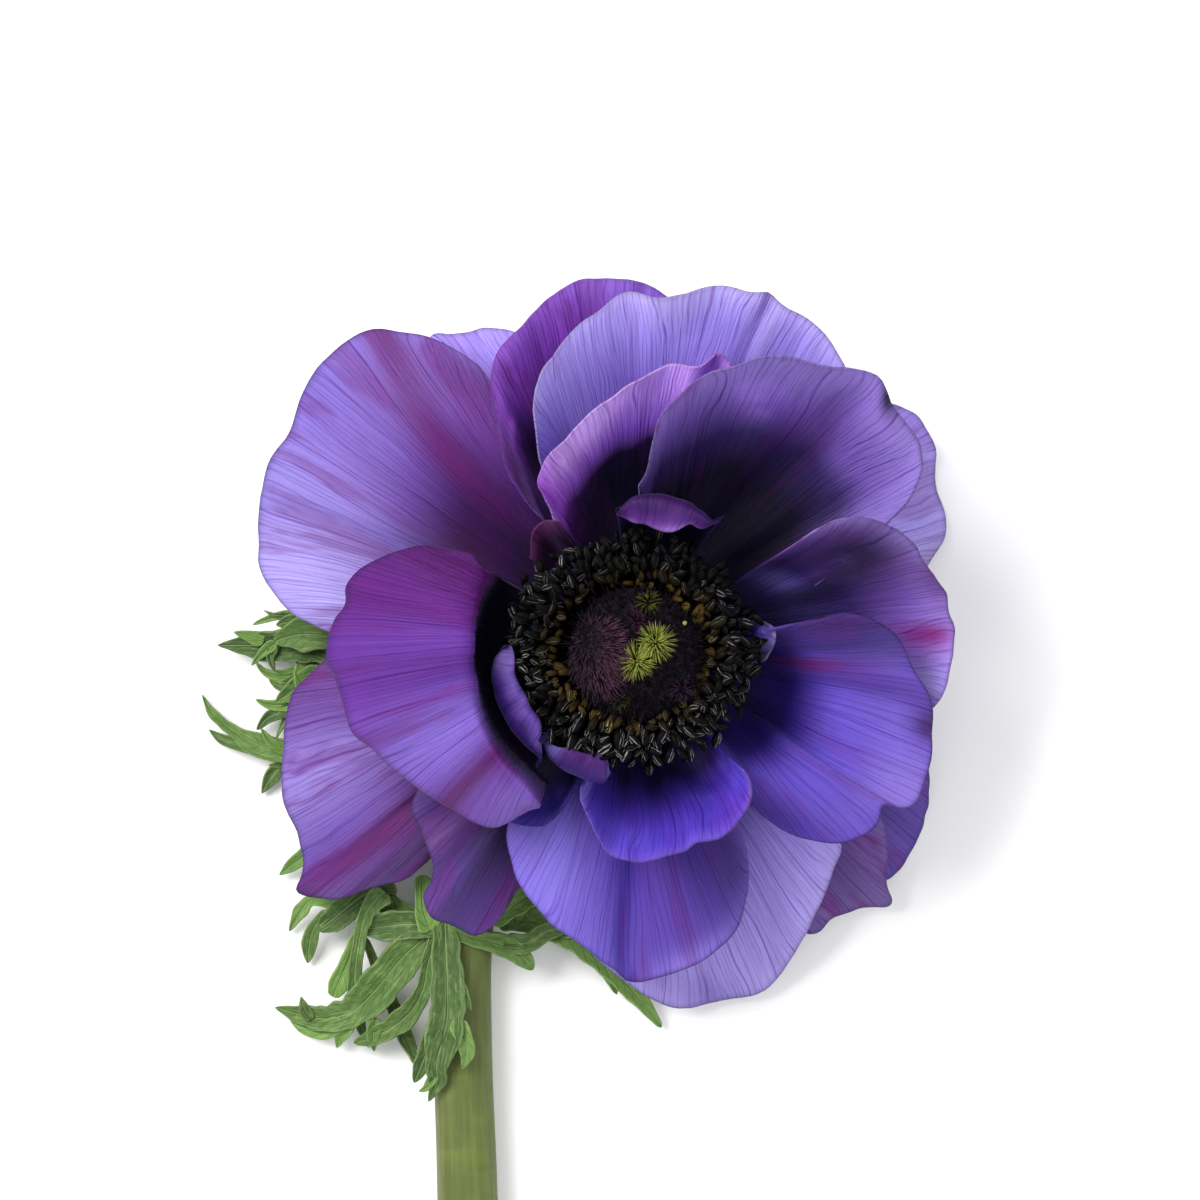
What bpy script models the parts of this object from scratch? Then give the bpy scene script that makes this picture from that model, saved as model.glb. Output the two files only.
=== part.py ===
"""A cut anemone, semi-double, lying on a flat surface with its face turned up.

Every length below is in millimetres. The flower's own frame has its origin under the middle of the
receptacle, +X to the flower's right, +Y to its top and +Z up, away from the surface. The parent empty
then moves the whole flower so that the middle of its bounding box stands on the world's origin.
"""

import math

import bpy
from mathutils import Vector
from mathutils.bvhtree import BVHTree

MM = 0.001
MERGE_DISTANCE = 0.00001

# Where the flower's frame lies, so that the whole object is centred on the origin.
FLOWER_PLACE = (6.6, 37.8, -0.14)

# The stem and the neck that carries the head.
STEM_RADIUS = 3.5
WHORL_RADIUS = 3.3
NECK_RADIUS = 2.5
NECK_TOP = 12.5
STEM_SAMPLES = 4

# The receptacle, and the seats on it.
SEAT_GAP = 0.3
RECEPTACLE_RADIUS = 4.2
RECEPTACLE_ROUNDING = 0.8
RECEPTACLE_FLARE = 1.6
RECEPTACLE_BOTTOM = NECK_TOP + SEAT_GAP
RECEPTACLE_TOP = 26.4
CLAW_RADIUS = RECEPTACLE_RADIUS + SEAT_GAP
CLAW_HALF_WIDTH = 1.0
LAYER_HEIGHTS = (14.6, 15.8, 17.0, 18.2, 19.4)

# The tepals' sheets.
TEPAL_THICKNESS = 0.6
TEPAL_CLEARANCE = 0.9
LEAST_SLOPE = 0.5
LARGE_CELLS = (10, 7)
SMALL_CELLS = (6, 5)
SMALL_MARGIN = 6
LIFT_PASSES = 2
LIFT_SPREAD = 6
FINE = 3
SKY = 200.0

# The stamens and the carpel head: half sections of (radius, height).
TURNED_STEPS = 32
CARPEL_RADIUS = 7.2
CARPEL_TOP = 37.8
CARPEL_DOME = 6.0
CARPEL_DOME_POINTS = 5
CARPEL_NECK = ((5.8, 29.8), (3.7, 28.2), (3.4, RECEPTACLE_TOP + SEAT_GAP))
STAMEN_RADIUS = 12.4
STAMEN_FLOOR = ((CLAW_RADIUS, 27.0), (8.0, 27.8), (11.4, 29.4), (STAMEN_RADIUS, 30.8))
STAMEN_CROWN = ((CARPEL_RADIUS + 0.5, 32.2), (9.6, 33.0), (11.4, 32.4))
STAMEN_WALL = ((CLAW_RADIUS, 27.9), (6.6, 29.2))
STAMEN_CLEARANCE = 0.7

# The bracts.
BRACT_THICKNESS = 0.9
LOBE_SAMPLES = 3

STEM_ROUTE = (
    (-16.8, -115.0, 3.5, STEM_RADIUS),
    (-17.9, -92.0, 3.5, STEM_RADIUS),
    (-18.2, -68.0, 3.5, STEM_RADIUS),
    (-18.8, -48.0, 3.5, STEM_RADIUS),
    (-18.8, -33.0, 3.7, WHORL_RADIUS),
    (-16.5, -21.0, 3.7, 2.8),
    (-10.0, -9.5, 4.0, NECK_RADIUS),
    (-3.4, -3.0, 5.8, NECK_RADIUS),
    (0.0, 0.0, 9.5, NECK_RADIUS),
    (0.0, 0.0, 11.0, NECK_RADIUS),
    (0.0, 0.0, NECK_TOP, NECK_RADIUS),
)

# How a tepal climbs from its claw to its margin: knots of (share of the way out, share of the
# margin's height, extra height).
DROOPING = ((0.35, 0.35, 1.5), (0.7, 0.7, 2.5))
ARCHED = ((0.3, 0.25, 2.0), (0.65, 0.7, 4.0))
OPEN_CUP = ((0.4, 0.15, 0.5), (0.75, 0.5, 0.5))
DEEP_CUP = ((0.45, 0.08, 0.0), (0.78, 0.4, 0.0))
SHOULDERED = ((0.35, 0.08, 0.0), (0.62, 0.7, 3.0))
CURLED = ((0.6, 0.1, 0.0), (0.9, 0.7, 0.5))

# The folded tepal stands up as a wall, turns over at its crest and spreads outwards.
# Its distances from the axis grow by FOLD_SPREAD from its upper end to its lower one.
FOLD_FOOT = (15.0, 21.0)
FOLD_WALL = (16.4, 31.0)
FOLD_CREST = (17.8, 37.0)
FOLD_SPREAD = 0.15
FOLD_LAST_SHARE = 0.97

VIOLET = (0.20, 0.13, 0.56)
PALE = (0.33, 0.27, 0.75)
MAGENTA = (0.20, 0.05, 0.33)
DARK = (0.05, 0.02, 0.12)

# Each tepal, lowest first: name, layer on the receptacle, bearing of its claw in degrees, its climb,
# its colour and its margin, anticlockwise as seen from above.
TEPALS = (
    ("tepal_top_left_back", 0, 118, DROOPING, PALE, (
        (-8, 27, 14), (-9.5, 32, 13), (-13.5, 34.4, 12), (-18, 34.2, 12), (-22.4, 33.2, 12), (-21, 26, 14))),
    ("tepal_right_back", 0, 32, DROOPING, PALE, (
        (24, 3, 9), (31, 5.5, 4), (34.8, 10.5, 1.2), (34.8, 17, 0.6), (34, 22.5, 2.5), (31.5, 25.5, 7),
        (26, 26.5, 11), (17, 21, 14))),
    ("tepal_lower_right_back", 0, -28, DROOPING, VIOLET, (
        (22, -25.5, 4), (28, -27.4, 1.5), (31.4, -24.5, 0.6), (33.2, -20, 1.5), (33.2, -15, 4),
        (30, -10, 7), (22, -6, 11))),
    ("tepal_lower_right_outer", 0, -58, DROOPING, VIOLET, (
        (12, -27, 7), (16, -31.5, 4.5), (20.5, -32.8, 3), (25, -31, 3), (29.3, -30, 3.5), (29, -25, 6),
        (27, -19, 8), (20, -13, 12))),
    ("tepal_lower_left", 0, 205, DROOPING, VIOLET, (
        (-24, 1, 14), (-33.5, -2.3, 11), (-38.2, -7, 10), (-39.4, -13.5, 9), (-38.3, -20, 8.5),
        (-36.2, -25, 8.5), (-37.4, -28, 7.5), (-32.5, -28.8, 9), (-25, -26.3, 11), (-19, -20, 13))),
    ("tepal_upper_left", 0, 150, ARCHED, VIOLET, (
        (-10, 17, 19), (-15.5, 28, 21), (-22.5, 33.4, 20), (-30.5, 34, 18), (-36.5, 27.5, 16),
        (-41, 16, 13.5), (-41.5, 8, 12), (-36.5, 1.8, 13), (-26, -1, 15))),
    ("tepal_top_dark", 1, 106, OPEN_CUP, MAGENTA, (
        (9, 27, 24), (7, 34, 26), (3, 38.5, 27), (-2.5, 39.5, 27), (-8, 38, 26), (-13, 33.5, 25),
        (-15.7, 28, 24), (-14.5, 21, 23), (-10.5, 14, 21))),
    ("tepal_top_pale", 1, 70, OPEN_CUP, PALE, (
        (22, 18, 26), (24.5, 26, 29), (21, 33, 31), (14.2, 38, 32), (7, 38, 32), (-0.5, 37.4, 31),
        (-6, 34, 30), (-10.2, 29, 29), (-10.4, 22, 28), (-8, 15, 25))),
    ("tepal_bottom_pale", 1, -78, ARCHED, PALE, (
        (-7, -25, 11), (-5, -33.5, 9), (-1, -38.2, 7), (3, -40.8, 5), (7.5, -41.6, 3.5),
        (12, -40.3, 3), (15.5, -39.3, 3.5), (18.7, -35, 6.5), (21, -29, 9.5), (23, -22.5, 12),
        (18, -15, 14))),
    ("tepal_lower_left_hanging", 1, 238, DROOPING, MAGENTA, (
        (-17, -11, 17), (-23.6, -17.5, 15.5), (-22.4, -23, 14.5), (-23.2, -28.5, 13), (-20.5, -31.5, 12),
        (-17.5, -33, 11), (-14.6, -30, 12), (-12.2, -26.3, 13.5))),
    ("tepal_top_inner", 2, 96, OPEN_CUP, VIOLET, (
        (14.2, 24, 32), (11.5, 29, 34.5), (8.6, 30.8, 36), (4.5, 29.6, 35), (0, 28.3, 34), (-4, 25.5, 33),
        (-8, 21, 32), (-10, 17.3, 30), (-8, 12.5, 26))),
    ("tepal_upper_right_cup", 2, 50, DEEP_CUP, VIOLET, (
        (20, 6, 25), (27.5, 12.5, 31), (31.3, 18.5, 37), (29.6, 24, 40), (26, 28.4, 41.5),
        (20, 30.3, 42), (13, 30.7, 41.5), (7, 28.5, 40), (3, 24.5, 38), (0.5, 17, 31))),
    ("tepal_bottom_keeled", 2, -92, ARCHED, VIOLET, (
        (-10.5, -13, 20), (-13.4, -20.8, 19), (-11.6, -27.3, 18), (-7.6, -32.2, 16), (-3, -36, 14.5),
        (-0.1, -39, 13), (4, -37.3, 14.5), (9.5, -34.5, 16), (12.8, -28, 18), (12.4, -22, 20),
        (8, -14, 21))),
    ("tepal_right_upper", 2, 8, OPEN_CUP, MAGENTA, (
        (22, -8, 20), (31, -9, 20), (34.8, -4.3, 23), (35, 1.5, 27), (33, 7, 31), (29, 11.2, 35),
        (24, 13.4, 37), (20, 12, 37))),
    ("tepal_inner_right", 3, 5, CURLED, PALE, (
        (13.6, -2.6, 23.5), (15.2, -1.6, 25), (15.3, 1.5, 26), (13.8, 2.5, 25))),
    ("tepal_right_lower", 3, -28, SHOULDERED, VIOLET, (
        (6, -12.5, 22), (10, -15.6, 23), (15, -20, 23.5), (20.5, -22.2, 23), (25.8, -21.2, 22),
        (27.4, -17.9, 23), (31, -18.3, 21.5), (33.1, -12, 22.5), (31.5, -4, 26), (28.4, 0.8, 29.5),
        (23.4, 3, 31), (18, 2, 30))),
    ("tepal_lower_left_hidden", 3, 240, OPEN_CUP, VIOLET, (
        (-11, -11, 21), (-14.3, -18.6, 22.5), (-10, -20.8, 24), (-7.6, -18, 24.5))),
    ("tepal_bottom_inner", 3, -75, DEEP_CUP, VIOLET, (
        (-5.8, -17, 29.5), (-4.5, -20.7, 31), (-1, -23.7, 31.5), (4.6, -23.3, 31.5), (9.5, -21.3, 31),
        (12.8, -17.2, 30), (12.5, -14.8, 29))),
    ("tepal_left_folded", 3, 178, "folded", MAGENTA, (
        (-17.9, 8.9, 36), (-19.5, 9.3, 36), (-24, 10.5, 34), (-29, 8, 31), (-31.4, 4.6, 29),
        (-33.1, 0, 27.5), (-32, -6, 27), (-27.5, -12, 27), (-21, -18, 27), (-14.5, -20.4, 28),
        (-10.2, -18, 30))),
    ("tepal_inner_upper_left", 4, 130, CURLED, DARK, (
        (-7.6, 12.8, 25), (-10.6, 12.6, 25), (-11.2, 9, 23))),
    ("tepal_inner_left", 4, 205, CURLED, MAGENTA, (
        (-13.4, -1.2, 29), (-15.1, -3.8, 31), (-14.6, -7.6, 31), (-12.4, -11, 30.5), (-10.2, -13.4, 30))),
    ("tepal_inner_lower_left", 4, 240, CURLED, MAGENTA, (
        (-8.2, -11.8, 26.5), (-8.2, -13.3, 27.5), (-6.5, -13.9, 28), (-4, -15, 28.5), (-2.6, -15, 28.5),
        (-1.8, -13.6, 27))),
    ("tepal_inner_top", 4, 73, CURLED, MAGENTA, (
        (9, 11.6, 29), (7.8, 14.4, 31), (3.8, 15.5, 32), (0, 15, 31), (-1.4, 13.4, 29))),
)

# The bracts: each is a set of lobes, and each lobe a route of (x, y, z, half its width).
LEFT_BRACT = (
    ((-22.9, -31.8, 4.6, 1.1), (-27.5, -29.5, 4.4, 1.3), (-32, -22, 4.0, 1.3), (-35, -12, 3.6, 1.3),
     (-37, -4, 3.4, 1.9), (-41.5, -1.6, 3.2, 2.0), (-46.6, -0.8, 2.4, 0.25)),
    ((-36.8, -4, 3.5, 1.2), (-38.3, 0, 4.2, 1.3), (-36, 3.4, 5.2, 0.25)),
    ((-40, -1.8, 3.3, 1.2), (-42.4, -0.2, 3.6, 0.9), (-44.6, 0.9, 3.6, 0.25)),
    ((-36, -6.5, 3.5, 1.0), (-39, -6, 3.0, 0.9), (-42, -8.4, 2.0, 0.25)),
    ((-34.6, -13, 3.6, 1.2), (-39.4, -11.4, 2.8, 1.3), (-44.6, -10.2, 1.9, 1.1), (-48.3, -6.2, 1.0, 0.25)),
    ((-39.2, -11.6, 2.8, 0.9), (-43, -11.6, 1.6, 0.9), (-47.2, -10.2, 1.2, 0.25)),
    ((-35, -12, 3.4, 1.0), (-39.6, -14, 1.8, 1.0), (-41.6, -17.3, 0.9, 0.25)),
    ((-32.4, -21, 3.9, 1.0), (-36.6, -24.2, 2.4, 1.0), (-39.6, -26.6, 1.2, 0.25)),
    ((-30.6, -25, 4.0, 1.0), (-35.6, -29.5, 2.4, 1.1), (-38.5, -33, 0.9, 0.25)),
    ((-27.6, -29.4, 4.3, 1.2), (-31.2, -33, 3.0, 1.6), (-33, -40, 0.9, 0.4)),
    ((-26.8, -29.9, 4.4, 1.1), (-29.6, -36, 3.4, 1.7), (-29.4, -46.2, 1.0, 0.25)),
)
FRONT_BRACT = (
    ((-21.6, -33.2, 7.2, 1.2), (-21.1, -38, 8.8, 1.8), (-20.2, -43, 9.4, 2.2), (-20.4, -48, 8.6, 1.7),
     (-23.2, -52, 5.6, 0.25)),
    ((-20.8, -40, 9.2, 1.0), (-19, -41.2, 9.3, 0.8), (-17.7, -41.4, 9.0, 0.25)),
    ((-21.2, -46, 9.0, 1.0), (-23.4, -48, 7.4, 0.9), (-24.3, -49.6, 6.0, 0.25)),
    ((-21.4, -34.4, 7.6, 1.2), (-24.2, -38.2, 7.0, 2.3), (-28.4, -41.6, 5.2, 1.9), (-33, -43.6, 3.6, 1.8),
     (-37, -43.2, 2.2, 1.2), (-40, -41.6, 1.2, 0.25)),
    ((-34, -43.6, 3.3, 1.0), (-36, -42, 2.8, 0.8), (-37.1, -40.4, 2.4, 0.25)),
    ((-29, -42, 5.0, 1.0), (-31.2, -45, 3.4, 0.9), (-32.4, -46, 2.6, 0.25)),
    ((-22.8, -36.4, 7.2, 1.2), (-25.4, -35.4, 6.6, 1.7), (-30.2, -34.9, 5.9, 1.2), (-31.8, -35, 5.6, 0.3)),
    ((-25.2, -39.4, 6.6, 0.8), (-26.4, -42.8, 4.6, 0.7), (-24.6, -46.6, 3.0, 0.6), (-24.2, -48, 2.4, 0.25)),
)
RIGHT_BRACT = (
    ((-14.9, -31.6, 4.8, 1.1), (-11, -32, 5.4, 1.5), (-6.2, -34, 5.2, 1.6), (-1.6, -37.6, 4.2, 1.4),
     (3.3, -43.6, 1.6, 0.3)),
    ((-12, -32, 5.3, 1.3), (-10.6, -34.4, 5.2, 1.2), (-11, -37.1, 4.6, 0.35)),
    ((-8, -33.2, 5.3, 1.0), (-5.2, -31.4, 5.6, 1.0), (-2.2, -30.4, 5.6, 0.25)),
    ((-5, -35, 5.0, 0.9), (-3.2, -38.2, 3.8, 0.8), (-1.8, -40.2, 2.8, 0.25)),
    ((-12.6, -31.6, 5.2, 1.0), (-11.6, -28.4, 5.8, 1.1), (-8.6, -25.8, 6.0, 0.3)),
)

LEAF_GREEN = (0.09, 0.19, 0.05)
STEM_GREEN = (0.19, 0.24, 0.07)
STAMEN_BLACK = (0.012, 0.012, 0.014)
CARPEL_DARK = (0.03, 0.02, 0.03)


def clear_scene():
    for thing in list(bpy.data.objects):
        bpy.data.objects.remove(thing, do_unlink=True)


def make_collection(name):
    collection = bpy.data.collections.new(name)
    bpy.context.scene.collection.children.link(collection)
    return collection


def make_material(name, colour, roughness):
    material = bpy.data.materials.new(name)
    material.use_nodes = True
    shader = material.node_tree.nodes["Principled BSDF"]
    shader.inputs["Base Color"].default_value = (*colour, 1.0)
    shader.inputs["Roughness"].default_value = roughness
    shader.inputs["Metallic"].default_value = 0.0
    return material


def add_mesh_object(name, vertices, edges, faces, collection, parent):
    """A mesh from points in millimetres, hung on the flower's frame."""
    mesh = bpy.data.meshes.new(name)
    mesh.from_pydata([Vector(v) * MM for v in vertices], edges, faces)
    mesh.update()
    thing = bpy.data.objects.new(name, mesh)
    thing.parent = parent
    collection.objects.link(thing)
    return thing


def spline_point(points, share):
    """A point at share (0 to 1) along a smooth curve through all the points."""
    last = len(points) - 1
    place = min(max(share, 0.0), 1.0) * last
    i = min(int(place), last - 1)
    t = place - i
    before, start = points[max(i - 1, 0)], points[i]
    end, after = points[i + 1], points[min(i + 2, last)]
    result = []
    for a, b, c, d in zip(before, start, end, after):
        result.append(
            0.5 * (2 * b + (c - a) * t + (2 * a - 5 * b + 4 * c - d) * t * t
                   + (3 * b - a - 3 * c + d) * t ** 3)
        )
    return result


def climb_knots(climb, claw, edge, along_edge):
    """The points that one ray of a tepal passes through, from its claw to its margin."""
    reach = math.hypot(edge[0], edge[1])
    shares = []
    if climb == "folded":
        for radius, height in (FOLD_FOOT, FOLD_WALL, FOLD_CREST):
            radius *= 1 + FOLD_SPREAD * along_edge
            share = min((radius - CLAW_RADIUS) / (reach - CLAW_RADIUS), FOLD_LAST_SHARE)
            shares.append((share, height))
    else:
        for share, rise, extra in climb:
            shares.append((share, claw[2] + (edge[2] - claw[2]) * rise + extra))
    knots = [claw]
    for share, height in shares:
        knots.append((
            claw[0] + (edge[0] - claw[0]) * share,
            claw[1] + (edge[1] - claw[1]) * share,
            height,
        ))
    return knots + [edge]


def stamen_floor(radius):
    """The height of the stamens' underside at this distance from the axis."""
    for (inner, low), (outer, high) in zip(STAMEN_FLOOR, STAMEN_FLOOR[1:]):
        if radius <= outer:
            share = max((radius - inner) / (outer - inner), 0.0)
            return low + (high - low) * share
    return SKY


def keep_under_stamens(rows, layer):
    """Lower a tepal to leave room for the layers above it, and for the stamens above them all."""
    room = STAMEN_CLEARANCE + TEPAL_CLEARANCE * (len(LAYER_HEIGHTS) - 1 - layer)
    for row in rows:
        for point in row:
            radius = math.hypot(point.x, point.y)
            point.z = min(point.z, stamen_floor(radius) - room)


def tepal_grid(layer, bearing, climb, margin, cells):
    """Rows of points, claw first, of a tepal's middle surface."""
    across, along = cells
    turn = math.radians(bearing)
    rows = [[] for _ in range(along + 1)]
    for i in range(across + 1):
        share = i / across
        side = (2 * share - 1) * CLAW_HALF_WIDTH
        claw = (
            CLAW_RADIUS * math.cos(turn) - side * math.sin(turn),
            CLAW_RADIUS * math.sin(turn) + side * math.cos(turn),
            LAYER_HEIGHTS[layer],
        )
        knots = climb_knots(climb, claw, spline_point(margin, share), share)
        for j in range(along + 1):
            rows[j].append(Vector(spline_point(knots, j / along)))
    return rows


def widest(grid):
    """Each value of a grid made the largest within one coarse cell of it."""
    height, width = len(grid), len(grid[0])
    return [
        [
            max(
                grid[b][a]
                for b in range(max(j - FINE, 0), min(j + FINE + 1, height))
                for a in range(max(i - FINE, 0), min(i + FINE + 1, width))
            )
            for i in range(width)
        ]
        for j in range(height)
    ]


def lift_clear(rows, below):
    """Raise a tepal wherever a lower one would touch it, spreading the lift so that it stays smooth."""
    height, width = len(rows), len(rows[0])
    for _ in range(LIFT_PASSES):
        lift = [[0.0] * width for _ in range(height)]
        for j, row in enumerate(rows):
            for i, point in enumerate(row):
                for tree in below:
                    hit, normal, _, _ = tree.ray_cast(Vector((point.x, point.y, SKY)), Vector((0, 0, -1)))
                    if hit is None:
                        continue
                    room = TEPAL_CLEARANCE / max(abs(normal.z), LEAST_SLOPE)
                    lift[j][i] = max(lift[j][i], hit.z + room - point.z)
        lift = widest(lift)
        for _ in range(LIFT_SPREAD):
            spread = [list(row) for row in lift]
            for j in range(height):
                for i in range(width):
                    near = [
                        lift[b][a]
                        for b, a in ((j - 1, i), (j + 1, i), (j, i - 1), (j, i + 1))
                        if 0 <= b < height and 0 <= a < width
                    ]
                    spread[j][i] = max(lift[j][i], sum(near) / len(near))
            lift = spread
        for j, row in enumerate(rows):
            for i, point in enumerate(row):
                point.z += lift[j][i]


def grid_faces(height, width):
    return [
        (j * width + i, (j + 1) * width + i, (j + 1) * width + i + 1, j * width + i + 1)
        for j in range(height - 1)
        for i in range(width - 1)
    ]


def build_tepals(collection, parent):
    below = []
    for name, layer, bearing, climb, colour, margin in TEPALS:
        cells = SMALL_CELLS if len(margin) <= SMALL_MARGIN else LARGE_CELLS
        fine = tepal_grid(layer, bearing, climb, margin, [FINE * count for count in cells])
        keep_under_stamens(fine, layer)
        lift_clear(fine, below)
        rows = [row[::FINE] for row in fine[::FINE]]
        points = [point for row in rows for point in row]
        faces = grid_faces(len(rows), len(rows[0]))
        below.append(BVHTree.FromPolygons(points, faces))
        tepal = add_mesh_object(name, points, [], faces, collection, parent)
        tepal.data.shade_smooth()
        skin = tepal.modifiers.new("Thickness", "SOLIDIFY")
        skin.thickness = TEPAL_THICKNESS * MM
        skin.offset = 0.0
        tepal.data.materials.append(make_material(name, colour, 0.55))


def add_turned(name, profile, is_ring, collection, parent, material):
    """A turned solid from a half section that runs down its outer side. A ring's section is closed."""
    points = [(radius, 0.0, height) for radius, height in profile]
    edges = [(i, i + 1) for i in range(len(points) - 1)]
    if is_ring:
        edges.append((len(points) - 1, 0))
    thing = add_mesh_object(name, points, edges, [], collection, parent)
    screw = thing.modifiers.new("Turned", "SCREW")
    screw.steps = TURNED_STEPS
    screw.render_steps = TURNED_STEPS
    screw.use_merge_vertices = True
    screw.merge_threshold = MERGE_DISTANCE
    thing.data.materials.append(material)


def build_receptacle(collection, parent):
    profile = (
        (0.0, RECEPTACLE_TOP),
        (RECEPTACLE_RADIUS - RECEPTACLE_ROUNDING, RECEPTACLE_TOP),
        (RECEPTACLE_RADIUS, RECEPTACLE_TOP - RECEPTACLE_ROUNDING),
        (RECEPTACLE_RADIUS, RECEPTACLE_BOTTOM + RECEPTACLE_FLARE),
        (NECK_RADIUS + 0.5, RECEPTACLE_BOTTOM),
        (0.0, RECEPTACLE_BOTTOM),
    )
    material = make_material("receptacle", LEAF_GREEN, 0.6)
    add_turned("receptacle", profile, False, collection, parent, material)


def build_stamens(collection, parent):
    profile = (*STAMEN_CROWN, *reversed(STAMEN_FLOOR), *STAMEN_WALL)
    material = make_material("stamens", STAMEN_BLACK, 0.6)
    add_turned("stamens", profile, True, collection, parent, material)


def build_carpels(collection, parent):
    middle = CARPEL_TOP - CARPEL_DOME
    profile = [(0.0, CARPEL_TOP)]
    for step in range(1, CARPEL_DOME_POINTS + 1):
        turn = math.pi / 2 * (1 - step / CARPEL_DOME_POINTS)
        profile.append((CARPEL_RADIUS * math.cos(turn), middle + CARPEL_DOME * math.sin(turn)))
    profile += CARPEL_NECK
    profile.append((0.0, CARPEL_NECK[-1][1]))
    material = make_material("carpel_head", CARPEL_DARK, 0.8)
    add_turned("carpel_head", profile, False, collection, parent, material)


def build_stem(collection, parent):
    line = bpy.data.curves.new("stem", "CURVE")
    line.dimensions = "3D"
    line.bevel_depth = 1.0 * MM
    line.bevel_resolution = 3
    line.use_fill_caps = True
    samples = (len(STEM_ROUTE) - 1) * STEM_SAMPLES
    spline = line.splines.new("POLY")
    spline.points.add(samples)
    for k in range(samples + 1):
        x, y, z, radius = spline_point(STEM_ROUTE, k / samples)
        spline.points[k].co = (x * MM, y * MM, z * MM, 1.0)
        spline.points[k].radius = radius
    stem = bpy.data.objects.new("stem", line)
    stem.parent = parent
    collection.objects.link(stem)
    stem.data.materials.append(make_material("stem", STEM_GREEN, 0.5))


def lobe_mesh(route):
    """A leaf lobe as a closed loft of lens-shaped sections along its route, pointed at both ends."""
    samples = (len(route) - 1) * LOBE_SAMPLES
    stations = [spline_point(route, k / samples) for k in range(samples + 1)]
    vertices, faces = [], []
    for k, (x, y, z, half) in enumerate(stations):
        here = Vector((x, y, z))
        before = Vector(stations[max(k - 1, 0)][:3])
        after = Vector(stations[min(k + 1, samples)][:3])
        side = (after - before).cross(Vector((0, 0, 1))).normalized()
        up = side.cross(after - before).normalized()
        thick = BRACT_THICKNESS / 2
        vertices += [here - side * half, here + up * thick, here + side * half, here - up * thick]
    for k in range(samples):
        for c in range(4):
            d = (c + 1) % 4
            faces.append((4 * k + c, 4 * k + 4 + c, 4 * k + 4 + d, 4 * k + d))
    faces.append((0, 1, 2, 3))
    faces.append(tuple(4 * samples + c for c in (3, 2, 1, 0)))
    return vertices, faces


def build_bract(name, lobes, collection, cutters, parent):
    """The first lobe is the rib of the leaf, and the others are joined to it."""
    material = make_material(name, LEAF_GREEN, 0.55)
    group = bpy.data.collections.new(name + "_lobes")
    cutters.children.link(group)
    bract = None
    for number, route in enumerate(lobes):
        vertices, faces = lobe_mesh(route)
        home = collection if number == 0 else group
        title = name if number == 0 else f"{name}_lobe_{number}"
        lobe = add_mesh_object(title, vertices, [], faces, home, parent)
        lobe.data.materials.append(material)
        if number == 0:
            bract = lobe
        else:
            lobe.hide_render = True
            lobe.display_type = "WIRE"
    join = bract.modifiers.new("Lobes", "BOOLEAN")
    join.operation = "UNION"
    join.solver = "EXACT"
    join.operand_type = "COLLECTION"
    join.collection = group


def main():
    clear_scene()
    flower = make_collection("anemone_flower")
    cutters = make_collection("anemone_joined_lobes")
    frame = bpy.data.objects.new("flower_frame", None)
    frame.location = Vector(FLOWER_PLACE) * MM
    flower.objects.link(frame)
    build_tepals(flower, frame)
    build_receptacle(flower, frame)
    build_stamens(flower, frame)
    build_carpels(flower, frame)
    build_stem(flower, frame)
    build_bract("bract_left", LEFT_BRACT, flower, cutters, frame)
    build_bract("bract_front", FRONT_BRACT, flower, cutters, frame)
    build_bract("bract_right", RIGHT_BRACT, flower, cutters, frame)


main()
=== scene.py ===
import math

import bpy
import numpy as np
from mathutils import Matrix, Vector, noise
from mathutils.bvhtree import BVHTree


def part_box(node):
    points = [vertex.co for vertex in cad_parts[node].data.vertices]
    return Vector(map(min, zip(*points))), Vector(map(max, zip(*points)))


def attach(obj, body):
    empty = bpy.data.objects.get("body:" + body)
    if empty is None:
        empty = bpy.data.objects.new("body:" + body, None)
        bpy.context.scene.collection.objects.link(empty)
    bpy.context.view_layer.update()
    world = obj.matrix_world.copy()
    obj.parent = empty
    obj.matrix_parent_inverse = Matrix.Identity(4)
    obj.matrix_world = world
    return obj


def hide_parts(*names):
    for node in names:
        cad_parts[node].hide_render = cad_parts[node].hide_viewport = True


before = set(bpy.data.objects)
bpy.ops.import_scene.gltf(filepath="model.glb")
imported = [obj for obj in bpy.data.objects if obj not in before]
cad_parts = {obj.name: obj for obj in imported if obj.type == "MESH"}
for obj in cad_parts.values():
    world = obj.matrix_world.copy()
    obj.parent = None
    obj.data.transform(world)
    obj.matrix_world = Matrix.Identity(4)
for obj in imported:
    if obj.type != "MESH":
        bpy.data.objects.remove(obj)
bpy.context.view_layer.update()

print("anemone: frame loaded")

mm = 0.001

# the flower's own frame stands under the receptacle, so every piece is placed from that node
knobLow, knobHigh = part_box("receptacle")
knobFloor = 12.8  # height of the receptacle's underside in the flower's frame, mm
flowerPlace = Vector((
    (knobLow.x + knobHigh.x) / 2,
    (knobLow.y + knobHigh.y) / 2,
    knobLow.z - knobFloor * mm,
))


def toWorld(points):
    # millimetres in the flower's frame to metres in the row frame
    return np.asarray(points, float) * mm + np.array(flowerPlace)


def deselectAll():
    if bpy.context.object and bpy.context.object.mode != "OBJECT":
        bpy.ops.object.mode_set(mode="OBJECT")
    bpy.ops.object.select_all(action="DESELECT")


def selectOnly(pieces):
    # the first of them is the active one
    deselectAll()
    for piece in pieces:
        piece.select_set(True)
    bpy.context.view_layer.objects.active = pieces[0]


def tint(red, green, blue):
    # a colour as a paint chart gives it, 0 to 255, made linear
    channels = np.array((red, green, blue), float) / 255
    return np.where(channels <= 0.04045, channels / 12.92, ((channels + 0.055) / 1.055) ** 2.4)


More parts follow.
